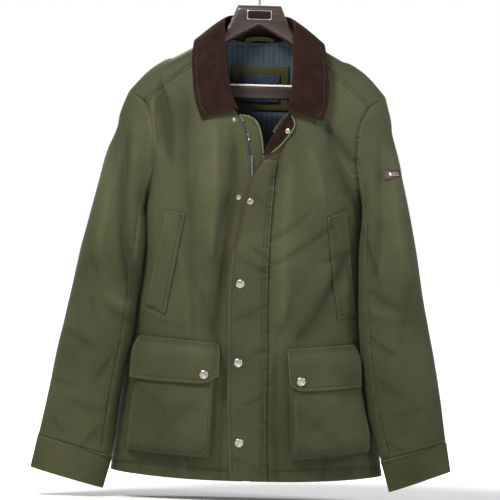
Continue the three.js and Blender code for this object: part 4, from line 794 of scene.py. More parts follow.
BODY_SEAMS: tuple[SeamLine, ...] = (
    SeamLine(mirrored(SHOULDER_SEAM), 1.0, 0.35),
    SeamLine(SHOULDER_SEAM, 1.0, 0.45),
    SeamLine(mirrored(ARMHOLE), 1.3, 0.45, 14),
    SeamLine(ARMHOLE, 1.3, 0.8, 13),
    SeamLine(mirrored(ARMHOLE), 1.2, 0.5, 15, face=Face.BACK),
    SeamLine(ARMHOLE, 1.2, 0.5, 14, face=Face.BACK),
    SeamLine(flap_line(4.0, True, 290.0), 1.1, 0.8, 11, 7),
    SeamLine(tuple((x - 1.0, d) for x, d in flap_line(-3.0, True, 290.0)), 0.9, 0.7, 13, 8),
    SeamLine(((-200, 574), (-55, 584)), 1.0, 0.4),
    SeamLine(((62, 590), (183, 580)), 1.0, 0.4),
    SeamLine(((-150, 358), (-117, 364), (-147, 536), (-180, 522)), 0.9, 0.5, 10, 7),
    SeamLine(((158, 351), (125, 364), (149, 539), (180, 528)), 0.9, 0.6, 10, 7),
    SeamLine(((-60, 640), (-62, 717), (-64, 762), (-80, 781), (-151, 777), (-224, 770)), 0.8, 0.45, 12, 8),
    SeamLine(((68, 652), (73, 747), (80, 778), (141, 780), (201, 767), (226, 755)), 0.8, 0.45, 12, 8),
)
SLEEVE_SEAMS: tuple[SeamLine, ...] = (
    SeamLine(SLEEVE_SEAM_RIGHT, 0.7, 0.7, 13, 9),
    SeamLine(SLEEVE_SEAM_LEFT, 0.7, 0.9, 12, 9),
    SeamLine(SLEEVE_SEAM_RIGHT, 0.7, 0.6, 14, 9, Face.BACK),
    SeamLine(SLEEVE_SEAM_LEFT, 0.7, 0.6, 13, 9, Face.BACK),
)
HEM_BAND = 17.0


class Relief:
    """The folds, seams and unevenness of the whole jacket, as a move of each point of its cloth."""

    def __init__(self) -> None:
        """Fixes the swells."""
        self.broad = Swell(11)
        self.small = Swell(23)
        self.arm = SeamLine(ARMHOLE)

    @staticmethod
    def hem_drop(x: np.ndarray) -> np.ndarray:
        """Drop of the hem at that distance from the middle."""
        return 818.0 - 12.0 * np.clip(np.abs(x) / 235.0, 0, 1) ** 2

    def uneven(self, spots: np.ndarray) -> np.ndarray:
        """Soft swells, longer down the cloth than across it, and a faint crumple."""
        drape = spots * np.array([1.0, 1.0, 0.45])
        soft = self.broad.at(drape, 95.0) * 2.4 + self.small.at(drape, 42.0) * 0.9
        crisp = (0.5 - np.abs(self.small.at(spots, 58.0)) * 1.6) * np.clip(self.broad.at(spots, 130.0) * 3 + 0.5, 0, 1)
        return soft + crisp * 0.9

    def body(self, spots: np.ndarray) -> tuple[np.ndarray, np.ndarray]:
        """Lift and its direction on the body.

        Args:
            spots: x, y and drop in millimetres, one to a row.

        Returns:
            The lift at each place, and the direction that it goes.
        """
        x, y, drop = spots.T
        front = smooth(-y / 25.0)
        back = smooth(y / 25.0)
        lift = self.uneven(spots) * (0.4 + 0.6 * np.maximum(front, back))
        for fold in BODY_CREASES:
            lift += fold.height(x, drop) * (front if fold.face is Face.FRONT else back)
        for seam in BODY_SEAMS:
            lift += seam.height(x, drop) * (front if seam.face is Face.FRONT else back)
        band = np.abs(drop - (self.hem_drop(x) - HEM_BAND))
        phase = x / 2.2 + y / 3.0
        lift += np.exp(-(band / 3.0) ** 2) * -0.7 + np.exp(-(band / 8.0) ** 2) * 0.28 * np.sin(phase + np.sin(phase / 3))
        way = np.stack([x / 210.0 ** 2, y / 90.0 ** 2, np.zeros_like(x)], axis=1)
        return lift, way / np.maximum(np.linalg.norm(way, axis=1, keepdims=True), 1e-9)

    def sleeve(self, spots: np.ndarray) -> tuple[np.ndarray, np.ndarray]:
        """Lift and its direction on a sleeve, as for the body."""
        x, y, drop = spots.T
        side = np.sign(x)
        axis_x = np.where(side < 0, 208 + 0.18 * (drop - 250), 205 + 0.155 * (drop - 250)) + 20.0
        axis_y = -46.0 * smooth((drop - 230.0) / 380.0)
        front = smooth((axis_y - y) / 16.0 + 0.4)
        back = 1.0 - front
        lift = self.uneven(spots + np.array([300.0, 0.0, 0.0])) * 0.8
        for fold in SLEEVE_CREASES:
            lift += fold.height(x, drop) * (front if fold.face is Face.FRONT else back)
        for seam in SLEEVE_SEAMS:
            lift += seam.height(x, drop) * (front if seam.face is Face.FRONT else back)
        way = np.stack([(x - side * axis_x) / 60.0 ** 2, (y - axis_y) / 50.0 ** 2, np.zeros_like(x)], axis=1)
        return lift, way / np.maximum(np.linalg.norm(way, axis=1, keepdims=True), 1e-9)

    def from_armhole(self, x: np.ndarray, drop: np.ndarray) -> np.ndarray:
        """Distance of each place from the armhole's line."""
        best = np.full(x.shape, 1e9)
        for (x0, d0), (x1, d1) in zip(ARMHOLE, ARMHOLE[1:]):
            length = math.hypot(x1 - x0, d1 - d0)
            part = np.clip(((np.abs(x) - x0) * (x1 - x0) + (drop - d0) * (d1 - d0)) / length ** 2, 0, 1)
            best = np.minimum(best, np.hypot(np.abs(x) - x0 - part * (x1 - x0), drop - d0 - part * (d1 - d0)))
        return best

    def move(self, spots: np.ndarray, drape: Drape) -> tuple[np.ndarray, np.ndarray]:
        """Moves cloth.

        Args:
            spots: x, y and drop in millimetres, one to a row.
            drape: the field that the piece follows.

        Returns:
            The moves in millimetres along x, y and drop, and the lift of each point.
        """
        if drape is Drape.STILL:
            return np.zeros_like(spots), np.zeros(len(spots))
        if drape is Drape.COLLAR:
            way = spots - np.array([5.0, -15.0, 0.0])
            way[:, 2] = 0.0
            way /= np.maximum(np.linalg.norm(way, axis=1, keepdims=True), 1e-9)
            lift = self.broad.at(spots, 60.0) * 2.6 + self.small.at(spots, 24.0) * 0.8
            return way * lift[:, None], lift
        lift, way = self.body(spots)
        if drape is Drape.SLEEVE:
            own, out = self.sleeve(spots)
            share = smooth(self.from_armhole(spots[:, 0], spots[:, 2]) / 38.0)
            lift = lift * (1 - share) + own * share
            way = way * (1 - share)[:, None] + out * share[:, None]
            way /= np.maximum(np.linalg.norm(way, axis=1, keepdims=True), 1e-9)
        return way * lift[:, None], lift


RELIEF = Relief()


# Cloth grown from the solids

def new_object(name: str, mesh: bpy.types.Mesh, finish: Finish) -> bpy.types.Object:
    """Links a mesh as an object at the origin, in its finish."""
    made = bpy.data.objects.new(name, mesh)
    bpy.context.scene.collection.objects.link(made)
    mesh.materials.clear()
    mesh.materials.append(finish.make())
    return made


def bake(thing: bpy.types.Object) -> None:
    """Turns an object's modifiers into a plain mesh and removes them."""
    graph = bpy.context.evaluated_depsgraph_get()
    graph.update()
    result = bpy.data.meshes.new_from_object(thing.evaluated_get(graph), depsgraph=graph)
    old = thing.data
    thing.modifiers.clear()
    thing.data = result
    bpy.data.meshes.remove(old)


def coordinates(mesh: bpy.types.Mesh) -> np.ndarray:
    """All of a mesh's points, one to a row."""
    flat = np.empty(len(mesh.vertices) * 3, np.float32)
    mesh.vertices.foreach_get("co", flat)
    return flat.reshape(-1, 3).astype(float)


def keep_value(mesh: bpy.types.Mesh, name: str, values: np.ndarray) -> None:
    """Stores one number for each point of a mesh."""
    slot = mesh.attributes.get(name) or mesh.attributes.new(name, "FLOAT", "POINT")
    slot.data.foreach_set("value", np.ascontiguousarray(values, np.float32))


def half_surface(mesh: bpy.types.Mesh) -> float:
    """Half of a thin wall's surface, in square metres."""
    mesh.calc_loop_triangles()
    spots = coordinates(mesh)
    index = np.empty(len(mesh.loop_triangles) * 3, np.int32)
    mesh.loop_triangles.foreach_get("vertices", index)
    a, b, c = (spots[index.reshape(-1, 3)[:, k]] for k in range(3))
    return float(np.linalg.norm(np.cross(b - a, c - a), axis=1).sum()) / 4.0


@dataclass
class Cloth:
    """A piece of cloth grown from its solid: the same form, finer, with its folds and its worn rims."""

    node: str
    finish: Finish
    slot: str
    flat: Point2
    rests_on: tuple[str, ...]
    levels: int = 3
    drape: Drape = Drape.BODY
    held: str = "hung"
    keep: float = 50.0
    thing: Optional[bpy.types.Object] = field(default=None, repr=False)

    def grow(self, frame: dict[str, Any]) -> bpy.types.Object:
        """Builds the piece.


        Returns:
            The finished object, which stands for the node.
        """
        shape = bmesh.new()
        shape.from_mesh(frame["nodes"][self.node].data)
        bmesh.ops.remove_doubles(shape, verts=shape.verts, dist=1e-5)
        bmesh.ops.join_triangles(
            shape, faces=shape.faces, cmp_seam=False, cmp_sharp=False, cmp_uvs=False, cmp_vcols=False,
            cmp_materials=False, angle_face_threshold=math.radians(60), angle_shape_threshold=math.radians(175),
            topology_influence=1.0)
        crease = shape.edges.layers.float.get("crease_edge") or shape.edges.layers.float.new("crease_edge")
        for edge in shape.edges:
            if edge.is_manifold and edge.calc_face_angle(0.0) > math.radians(self.keep):
                edge[crease] = 1.0
        mesh = bpy.data.meshes.new(self.node + "_cloth")
        shape.to_mesh(mesh)
        shape.free()
        self.thing = new_object(self.node + "_cloth", mesh, self.finish)
        finer = self.thing.modifiers.new("finer", "SUBSURF")
        finer.levels = finer.render_levels = self.levels
        finer.use_limit_surface = False
        bake(self.thing)
        self.drape_on()
        return self.thing

    def drape_on(self) -> None:
        """Moves the cloth by the jacket's folds, and keeps the values that its finish reads."""
        mesh = self.thing.data
        spots = coordinates(mesh) / MM
        spots[:, 2] = -(spots[:, 2] + HOOK_RISE)
        moves, lift = RELIEF.move(spots, self.drape)
        keep_value(mesh, "wear", self.rim_closeness(mesh, spots))
        # The fold's lift, from which the waxed cotton paints highlight on ridges and shade in troughs.
        keep_value(mesh, "crest", np.clip(lift / 6.0, -1.0, 1.0))
        spots += moves
        spots[:, 2] = -(spots[:, 2] + HOOK_RISE)
        mesh.vertices.foreach_set("co", (spots * MM).astype(np.float32).ravel())
        mesh.update()
        mesh.shade_smooth()
        mesh.set_sharp_from_angle(angle=math.radians(48))

    @staticmethod
    def rim_closeness(mesh: bpy.types.Mesh, spots: np.ndarray, reach: float = 3.0) -> np.ndarray:
        """One at a cut or folded rim, falling off over a few millimetres."""
        sharp = mesh.attributes.get("crease_edge")
        if sharp is None:
            return np.zeros(len(spots))
        values = np.empty(len(mesh.edges), np.float32)
        sharp.data.foreach_get("value", values)
        ends = np.empty(len(mesh.edges) * 2, np.int32)
        mesh.edges.foreach_get("vertices", ends)
        rim = np.unique(ends.reshape(-1, 2)[values > 0.5])
        if len(rim) == 0:
            return np.zeros(len(spots))
        tree = KDTree(len(rim))
        for number, index in enumerate(rim.tolist()):
            tree.insert(spots[index], number)
        tree.balance()
        away = np.array([tree.find(spot)[2] for spot in spots.tolist()])
        return np.exp(-(away / reach) ** 2)

    def declare(self) -> None:
        """Rides the piece on the root body, hides its solid, and logs its faces and its cloth area."""
        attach(self.thing, "root")
        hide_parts(self.node)
        width, length = (side * MM for side in self.flat)
        area = min(max(half_surface(self.thing.data), 0.31 * width * length), width * length)
        log.info("%s: %d faces, %.4f m2 of cloth", self.thing.name, len(self.thing.data.polygons), area)


# Sewing

class Finder:
    """Finds places on finished pieces."""

    def __init__(self, *pieces: bpy.types.Object) -> None:
        """Takes the pieces that may be hit."""
        verts: list[Vector] = []
        faces: list[tuple[int, ...]] = []
        for piece in pieces:
            base = len(verts)
            verts += [v.co.copy() for v in piece.data.vertices]
            faces += [tuple(base + i for i in p.vertices) for p in piece.data.polygons]
        self.tree = BVHTree.FromPolygons(verts, faces)

    def seen(self, x: float, drop: float, face: Face = Face.FRONT) -> Optional[tuple[Vector, Vector]]:
        """The place and normal seen straight from the front or back."""
        start = place(x, -400.0 * face.value, drop)
        hit, normal, _, _ = self.tree.ray_cast(start, Vector((0, face.value, 0)))
        return (hit, normal) if hit else None

    def toward(self, start: Vector, way: Vector) -> Optional[tuple[Vector, Vector]]:
        """The first place along a ray."""
        hit, normal, _, _ = self.tree.ray_cast(start, way.normalized())
        return (hit, normal) if hit else None

    def line(self, points: Sequence[Point2], face: Face = Face.FRONT, step: float = 2.0,
             rounds: int = 2) -> list[list[tuple[Vector, Vector]]]:
        """A drawn line laid on the cloth, in the stretches that meet it."""
        runs: list[list[tuple[Vector, Vector]]] = [[]]
        last = None
        for x, drop in respace(round_corners(points, rounds), step):
            hit = self.seen(x, drop, face)
            if hit is None or (last is not None and (hit[0] - last).length > 4.0 * step * MM):
                if runs[-1]:
                    runs.append([])
            if hit is not None:
                runs[-1].append(hit)
                last = hit[0]
        return [run for run in runs if len(run) > 2]


class RowOfBeads:
    """A tree of nodes that sets stitches or teeth along a line's curve."""

    trees: dict[Bead, bpy.types.NodeTree] = {}

    @classmethod
    def tree(cls, bead: Bead) -> bpy.types.NodeTree:
        """Builds the tree once for each bead.

        Args:
            bead: what is set out.

        Returns:
            A tree whose inputs are Spacing, Size, Scatter, Seed and Finish.
        """
        if bead in cls.trees:
            return cls.trees[bead]
        tree = bpy.data.node_groups.new(f"row_of_{bead.value}", "GeometryNodeTree")
        face = tree.interface
        face.new_socket("Line", in_out="INPUT", socket_type="NodeSocketGeometry")
        face.new_socket("Spacing", in_out="INPUT", socket_type="NodeSocketFloat")
        face.new_socket("Size", in_out="INPUT", socket_type="NodeSocketVector")
        face.new_socket("Scatter", in_out="INPUT", socket_type="NodeSocketFloat")
        face.new_socket("Seed", in_out="INPUT", socket_type="NodeSocketInt")
        face.new_socket("Finish", in_out="INPUT", socket_type="NodeSocketMaterial")
        face.new_socket("Row", in_out="OUTPUT", socket_type="NodeSocketGeometry")
        given = add_node(tree, "NodeGroupInput").outputs
        curve = add_node(tree, "GeometryNodeMeshToCurve", links={0: given["Line"]})
        spaced = add_node(tree, "GeometryNodeResampleCurve", {"mode": "LENGTH"}, {
            "Curve": curve.outputs[0], "Length": given["Spacing"]})
        if bead is Bead.STITCH:
            shape = add_node(tree, "GeometryNodeMeshCylinder", links={"Vertices": 5, "Radius": 0.5, "Depth": 1.0})
        else:
            shape = add_node(tree, "GeometryNodeMeshCube", links={"Size": (1.0, 1.0, 1.0)})
        along = add_node(tree, "GeometryNodeInputTangent")
        lie = add_node(tree, "GeometryNodeInputNamedAttribute", {"data_type": "FLOAT_VECTOR"}, {"Name": "lie"})
        turned = add_node(tree, "FunctionNodeAlignRotationToVector", {"axis": "Z"}, {"Vector": along.outputs[0]})
        laid = add_node(tree, "FunctionNodeAlignRotationToVector", {"axis": "X", "pivot_axis": "Z"}, {
            "Rotation": turned.outputs[0], "Vector": lie.outputs[0]})
        less = add_node(tree, "ShaderNodeMath", {"operation": "SUBTRACT"}, {0: 1.0, 1: given["Scatter"]})
        more = add_node(tree, "ShaderNodeMath", {"operation": "ADD"}, {0: 1.0, 1: given["Scatter"]})
        chance = add_node(tree, "FunctionNodeRandomValue", {"data_type": "FLOAT"}, {
            2: less.outputs[0], 3: more.outputs[0], "Seed": given["Seed"]})
        scale = add_node(tree, "ShaderNodeVectorMath", {"operation": "SCALE"}, {
            0: given["Size"], "Scale": chance.outputs[1]})
        set_out = add_node(tree, "GeometryNodeInstanceOnPoints", links={
            "Points": spaced.outputs[0], "Instance": shape.outputs[0], "Rotation": laid.outputs[0],
            "Scale": scale.outputs[0]})
        real = add_node(tree, "GeometryNodeRealizeInstances", links={0: set_out.outputs[0]})
        dressed = add_node(tree, "GeometryNodeSetMaterial", links={
            "Geometry": real.outputs[0], "Material": given["Finish"]})
        add_node(tree, "NodeGroupOutput", links={0: dressed.outputs[0]})
        cls.trees[bead] = tree
        return tree

    @classmethod
    def along(cls, name: str, runs: Sequence[Sequence[tuple[Vector, Vector]]], bead: Bead, finish: Finish,
              spacing: float, size: tuple[float, float, float], scatter: float = 0.08, seed: int = 1,
              proud: float = 0.0) -> Optional[bpy.types.Object]:
        """Sets beads along lines.

        Args:
            name: the new piece's name.
            runs: lines of places with their normals.
            bead: stitch or block.
            finish: its surface.
            spacing: distance between beads in millimetres.
            size: thickness off the cloth, width and length in millimetres.
            scatter: how far sizes vary.
            seed: for the scatter.
            proud: how far the line stands off the cloth, in millimetres.

        Returns:
            The new object, or None where no line was found.
        """
        verts, edges, lies = [], [], []
        for run in runs:
            for k, (spot, normal) in enumerate(run):
                if k:
                    edges.append((len(verts) - 1, len(verts)))
                verts.append(spot + normal * proud * MM)
                lies.append(normal)
        if not verts:
            log.warning("%s: its line misses the cloth", name)
            return None
        mesh = bpy.data.meshes.new(name)
        mesh.from_pydata(verts, edges, [])
        slot = mesh.attributes.new("lie", "FLOAT_VECTOR", "POINT")
        slot.data.foreach_set("vector", np.array([tuple(n) for n in lies], np.float32).ravel())
        thing = new_object(name, mesh, finish)
        tree = cls.tree(bead)
        rule = thing.modifiers.new("row", "NODES")
        rule.node_group = tree
        given = {"Spacing": spacing * MM, "Size": tuple(s * MM for s in size), "Scatter": scatter, "Seed": seed,
                 "Finish": finish.make()}
        for socket in tree.interface.items_tree:
            if socket.in_out == "INPUT" and socket.name in given:
                rule[socket.identifier] = given[socket.name]
        bake(thing)
        thing.data.shade_smooth()
        thing.data.set_sharp_from_angle(angle=math.radians(55))
        return thing


class Needle:
    """Sews rows of stitches, and keeps count of them."""

    def __init__(self) -> None:
        """Starts with no rows."""
        self.rows = 0

    def sew(self, name: str, runs: Sequence[Sequence[tuple[Vector, Vector]]], slot: str = "waxed_cotton",
            finish: Finish = THREAD, pitch: float = 3.4) -> None:
        """Sews rows along lines on the cloth.

        Args:
            name: the piece's name.
            runs: places with their normals.
            slot: the record's slot for its finish; not used.
            finish: the thread.
            pitch: the stitch's pitch in millimetres.
        """
        self.rows += 1
        made = RowOfBeads.along(name, runs, Bead.STITCH, finish, pitch, (0.8, 1.15, pitch * 0.74), 0.08, self.rows,
                                0.12)
        if made:
            finish_piece(made, slot)


NEEDLE = Needle()


def finish_piece(thing: bpy.types.Object, slot: str, *nodes: str) -> bpy.types.Object:
    """Rides on the body, stands for any nodes named, and logs its faces."""
    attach(thing, "root")
    if nodes:
        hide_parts(*nodes)
    log.info("%s: %d faces", thing.name, len(thing.data.polygons))
    return thing


def tube(name: str, path: Sequence[Vector], radius: float, finish: Finish, sides: int = 8) -> bpy.types.Object:
    """A round cord along a path, closed at its ends.

    Args:
        name: the piece's name.
        path: its points in metres.
        radius: in millimetres.
        finish: its surface.
        sides: faces round it.

    Returns:
        The new object.
    """
    verts, faces = [], []
    side = Vector((1, 0, 0))
    for k, spot in enumerate(path):
        way = (path[min(k + 1, len(path) - 1)] - path[max(k - 1, 0)]).normalized()
        side = (side - way * side.dot(way)).normalized()
        other = way.cross(side)
        verts += [spot + (side * math.cos(t) + other * math.sin(t)) * radius * MM
                  for t in (2 * math.pi * i / sides for i in range(sides))]
        if k:
            base = (k - 1) * sides
            faces += [(base + i, base + (i + 1) % sides, base + sides + (i + 1) % sides, base + sides + i)
                      for i in range(sides)]
    faces.append(tuple(reversed(range(sides))))
    faces.append(tuple(range(len(verts) - sides, len(verts))))
    mesh = bpy.data.meshes.new(name)
    mesh.from_pydata(verts, [], faces)
    mesh.validate()
    mesh.shade_smooth()
    mesh.set_sharp_from_angle(angle=math.radians(60))
    return new_object(name, mesh, finish)


def lathed(name: str, profile: Sequence[Point2], centre: Vector, axis: Vector, finish: Finish,
           segments: int = 32) -> bpy.types.Object:
    """A turned piece, from (radius, height) pairs in millimetres, closed on its axis."""
    verts: list[Vector] = []
    faces: list[tuple[int, ...]] = []
    turn = Vector((0, 0, 1)).rotation_difference(axis).to_matrix()
    rings: list[list[int]] = []
    for radius, height in profile:
        ring = []
        for k in range(1 if radius == 0 else segments):
            angle = 2 * math.pi * k / segments
            local = Vector((radius * math.cos(angle), radius * math.sin(angle), height)) * MM
            ring.append(len(verts))
            verts.append(centre + turn @ local)
        rings.append(ring)
    for low, high in zip(rings, rings[1:]):
        for k in range(segments):
            after = (k + 1) % segments
            if len(low) == 1:
                faces.append((low[0], high[after], high[k])[::-1])
            elif len(high) == 1:
                faces.append((low[k], low[after], high[0]))
            else:
                faces.append((low[k], low[after], high[after], high[k]))
    mesh = bpy.data.meshes.new(name)
    mesh.from_pydata(verts, [], faces)
    shape = bmesh.new()
    shape.from_mesh(mesh)
    bmesh.ops.recalc_face_normals(shape, faces=shape.faces)
    shape.to_mesh(mesh)
    shape.free()
    mesh.shade_smooth()
    mesh.set_sharp_from_angle(angle=math.radians(38))
    return new_object(name, mesh, finish)


# The jacket's parts

@dataclass
class Body:
    """The fronts and the back."""

    fronts: tuple[Cloth, Cloth] = field(default_factory=lambda: (
        Cloth("front_right", WAXED, "waxed_cotton", (292, 700), ("back",)),
        Cloth("front_left", WAXED, "waxed_cotton", (292, 700), ("back",))))
    # The back wears the darker copy of the waxed cotton as painted shade.
    back: Cloth = field(default_factory=lambda: Cloth("back", WAXED_SHADED, "waxed_cotton", (640, 860), ("hanger",)))

    def build(self, frame: dict[str, Any]) -> None:
        """Grows the panels, then sews them."""
        for piece in (*self.fronts, self.back):
            piece.grow(frame)
            piece.declare()
        self.sew()

    def sew(self) -> None:
        """Topstitches the shoulders, armholes, hem and front edges."""
        front = Finder(*(piece.thing for piece in self.fronts))
        back = Finder(self.back.thing)
        every = Finder(self.back.thing, *(piece.thing for piece in self.fronts))
        below = tuple((x, d + 4.5) for x, d in SHOULDER_SEAM)
        above = tuple((x, d - 4.0) for x, d in SHOULDER_SEAM)
        for name, side in (("right", mirrored), ("left", tuple)):
            NEEDLE.sew(f"shoulder_stitch_{name}", front.line(side(below)) + back.line(side(above)))
            inside = tuple((x - 5.0, d + (3.0 if d < 175 else 0.0)) for x, d in ARMHOLE[2:])
            NEEDLE.sew(f"armhole_stitch_{name}", front.line(side(inside)) + back.line(side(inside), Face.BACK))
        NEEDLE.sew("hem_stitch", self.around(every, HEM_BAND) + self.around(every, HEM_BAND - 2.6))
        edge = [(-11, 300), (-13, 262), (-20, 226), (-34, 192)]
        NEEDLE.sew("front_edge_stitch_right", front.line(edge))
        NEEDLE.sew("front_edge_stitch_left", front.line([(58, 200), (50, 214), (38, 232), (30, 250), (26, 268)]))

    @staticmethod
    def around(finder: Finder, up: float) -> list[list[tuple[Vector, Vector]]]:
        """A row all round the body, that far above its hem."""
        row = []
        for k in range(720):
            angle = 2 * math.pi * k / 720
            flat = Vector((math.cos(angle), math.sin(angle)))
            reach = 232.0 * abs(flat.x)
            drop = 818.0 - 12.0 * min(1.0, reach / 235.0) ** 2 - up
            start = place(flat.x * 420, flat.y * 420, drop)
            hit = finder.toward(start, Vector((-flat.x, -flat.y * 1.0, 0)))
            if hit:
                row.append(hit)
        runs: list[list[tuple[Vector, Vector]]] = [[]]
        for hit in row:
            if runs[-1] and (hit[0] - runs[-1][-1][0]).length > 0.02:
                runs.append([])
            runs[-1].append(hit)
        return [run for run in runs if len(run) > 2]


@dataclass
class Sleeves:
    """Both sleeves and their cuffs; the badge on the wearer's left one is built on its own."""

    parts: tuple[Cloth, ...] = field(default_factory=lambda: tuple(
        Cloth(f"sleeve_{side}_{part}", finish, "waxed_cotton", flat, (f"front_{side}", "back"), levels, Drape.SLEEVE)
        for side in ("right", "left")
        # The under-sleeves wear the darker copy of the waxed cotton as painted shade.
        for part, finish, flat, levels in (("top", WAXED, (370, 620), 3), ("under", WAXED_SHADED, (170, 470), 2))))
    cuffs: tuple[Cloth, ...] = field(default_factory=lambda: tuple(
        Cloth(f"cuff_{side}", WAXED, "waxed_cotton", (300, 66), (f"sleeve_{side}_top",), 3, Drape.SLEEVE)
        for side in ("right", "left")))

    def build(self, frame: dict[str, Any]) -> None:
        """Grows the sleeves and cuffs and sews them."""
        for piece in (*self.parts, *self.cuffs):
            piece.grow(frame)
            piece.declare()
        for side, seam, cuff, step in (("right", SLEEVE_SEAM_RIGHT, self.cuffs[0], -3.2),
                                       ("left", SLEEVE_SEAM_LEFT, self.cuffs[1], 3.2)):
            tops = Finder(*(piece.thing for piece in self.parts if side in piece.node))
            line = [(x + step, d) for x, d in seam]
            NEEDLE.sew(f"sleeve_stitch_{side}", tops.line(line) + tops.line(line, Face.BACK))
            NEEDLE.sew(f"cuff_stitch_{side}", self.around(cuff, 5.0) + self.around(cuff, 7.6))

    @staticmethod
    def around(cuff: Cloth, down: float) -> list[list[tuple[Vector, Vector]]]:
        """A row round a cuff, that far below its top."""
        spots = coordinates(cuff.thing.data)
        middle = Vector(spots.mean(axis=0))
        side = -1.0 if middle.x < 0 else 1.0
        fall = Vector((side * 0.33, 0, -0.94)).normalized()
        across = Vector((side * 0.94, 0, 0.33)).normalized()
        depth = Vector((0, 1, 0))
        level = max((Vector(s) - middle).dot(-fall) for s in spots[::7].tolist())
        base = middle - fall * (level - down * MM)
        finder = Finder(cuff.thing)
        row = []
        for k in range(181):
            angle = 2 * math.pi * k / 180
            way = across * math.cos(angle) + depth * math.sin(angle)
            hit = finder.toward(base + way * 0.15, -way)
            if hit:
                row.append(hit)
        runs: list[list[tuple[Vector, Vector]]] = [[]]
        for hit in row:
            if runs[-1] and (hit[0] - runs[-1][-1][0]).length > 0.012:
                runs.append([])
            runs[-1].append(hit)
        return [run for run in runs if len(run) > 2]


@dataclass
class Badge:
    """The leather badge with its bare plate."""

    def build(self, frame: dict[str, Any], sleeve: bpy.types.Object) -> None:
        """Softens both solids, and stitches the leather."""
        leather = softened(frame, "badge", LEATHER, 0.7, 3)
        plate = softened(frame, "badge_plate", NICKEL, 0.35, 2)
        finish_piece(leather, "leather", "badge")
        finish_piece(plate, "nickel", "badge_plate")
        finder = Finder(leather)
        spots = coordinates(leather.data)
        low, high = spots.min(axis=0), spots.max(axis=0)
        middle = (low + high) / 2 / MM
        tilt = 0.27
        along = np.array([math.cos(tilt), math.sin(tilt)])
        up = np.array([-math.sin(tilt), math.cos(tilt)])
        loop = []
        for s, t in ((-14.5, -5.5), (14.5, -5.5), (14.5, 5.5), (-14.5, 5.5), (-14.5, -5.5)):
            spot = along * s + up * t
            loop.append((float(middle[0] + spot[0]), float(-(middle[2] + spot[1] + HOOK_RISE))))
        NEEDLE.sew("badge_stitch", finder.line(loop, rounds=0, step=1.2), "leather", THREAD_BROWN, 2.4)


def softened(frame: dict[str, Any], node: str, finish: Finish, width: float, segments: int,
             angle: float = 30.0) -> bpy.types.Object:
    """A copy of a solid with its edges rounded.

    Args:
        frame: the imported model.
        node: the solid's name.
        finish: its surface.
        width: the round's width in millimetres.
        segments: faces across the round.
        angle: edges sharper than this are rounded, in degrees.

    Returns:
        The new object.
    """
    shape = bmesh.new()
    shape.from_mesh(frame["nodes"][node].data)
    bmesh.ops.remove_doubles(shape, verts=shape.verts, dist=1e-5)
    bmesh.ops.join_triangles(
        shape, faces=shape.faces, cmp_seam=False, cmp_sharp=False, cmp_uvs=False, cmp_vcols=False,
        cmp_materials=False, angle_face_threshold=math.radians(20), angle_shape_threshold=math.radians(175))
    mesh = bpy.data.meshes.new(node + "_finished")
    shape.to_mesh(mesh)
    shape.free()
    thing = new_object(node + "_finished", mesh, finish)
    rounding = thing.modifiers.new("round", "BEVEL")
    rounding.width = width * MM
    rounding.segments = segments
    rounding.limit_method = "ANGLE"
    rounding.angle_limit = math.radians(angle)
    bake(thing)
    keep_value(thing.data, "wear", np.zeros(len(thing.data.vertices)))
    thing.data.shade_smooth()
    thing.data.set_sharp_from_angle(angle=math.radians(35))
    return thing


@dataclass
class Collar:
    """The corduroy collar, turned down."""

    piece: Cloth = field(default_factory=lambda: Cloth(
        "collar", CORD, "corduroy", (620, 130), ("front_right", "front_left", "back"), 3, Drape.COLLAR))
    edge: tuple[tuple[float, float, float], ...] = (
        (104, 199, 76), (112, 176, 73), (116, 142, 65), (117, 104, 53), (114, 76, 34), (110, 62, 9), (98, 62, -30),
        (66, 78, -53), (0, 88, -62))

    def rim(self) -> list[Vector]:
        """The free edge, from the wearer's right front round the back to the left, in millimetres."""
        rows = self.edge + tuple((-x, d, y) for x, d, y in reversed(self.edge[:-1]))
        spots = []
        for x, drop, y in rows:
            lean = 9.0 * min(max((drop - 60.0) / 130.0, 0.0), 1.0)
            spots.append(Vector((-x + lean, -y, drop)))
        return spots

    def build(self, frame: dict[str, Any]) -> None:
        """Grows the collar, marks its wales and topstitches its edge."""
        self.piece.grow(frame)
        mesh = self.piece.thing.data
        spots = coordinates(mesh) / MM
        spots[:, 2] = -(spots[:, 2] + HOOK_RISE)
        rim = self.rim()
        best = np.full(len(spots), 1e9)
        for a, b in zip(rim, rim[1:]):
            start, line = np.array(a), np.array(b - a)
            part = np.clip(((spots - start) @ line) / float(line @ line), 0, 1)
            best = np.minimum(best, np.linalg.norm(spots - start - part[:, None] * line, axis=1))
        keep_value(mesh, "wale", best)
        self.piece.declare()
        finder = Finder(self.piece.thing)
        line = []
        for k in range(len(rim) - 1):
            for t in np.linspace(0, 1, 14, endpoint=False):
                spot = rim[k].lerp(rim[k + 1], float(t))
                line.append(spot)
        centre = Vector((5.0, 10.0, 0.0))
        runs: list[list[tuple[Vector, Vector]]] = [[]]
        for spot in line:
            inward = Vector((centre.x - spot.x, 0.0, 0.0)).normalized()
            front = spot.y < -20
            face = Face.FRONT if front else Face.BACK
            x = spot.x + (inward.x * 7.0 if abs(spot.x) > 60 else 0.0)
            drop = spot.z - (7.0 if abs(spot.x) <= 100 or spot.z > 190 else 0.0)
            hit = finder.seen(x, drop, face)
            if hit and runs[-1] and (hit[0] - runs[-1][-1][0]).length > 0.03:
                runs.append([])
            if hit:
                runs[-1].append(hit)
        NEEDLE.sew("collar_stitch", [run for run in runs if len(run) > 2], "corduroy", THREAD_BROWN)


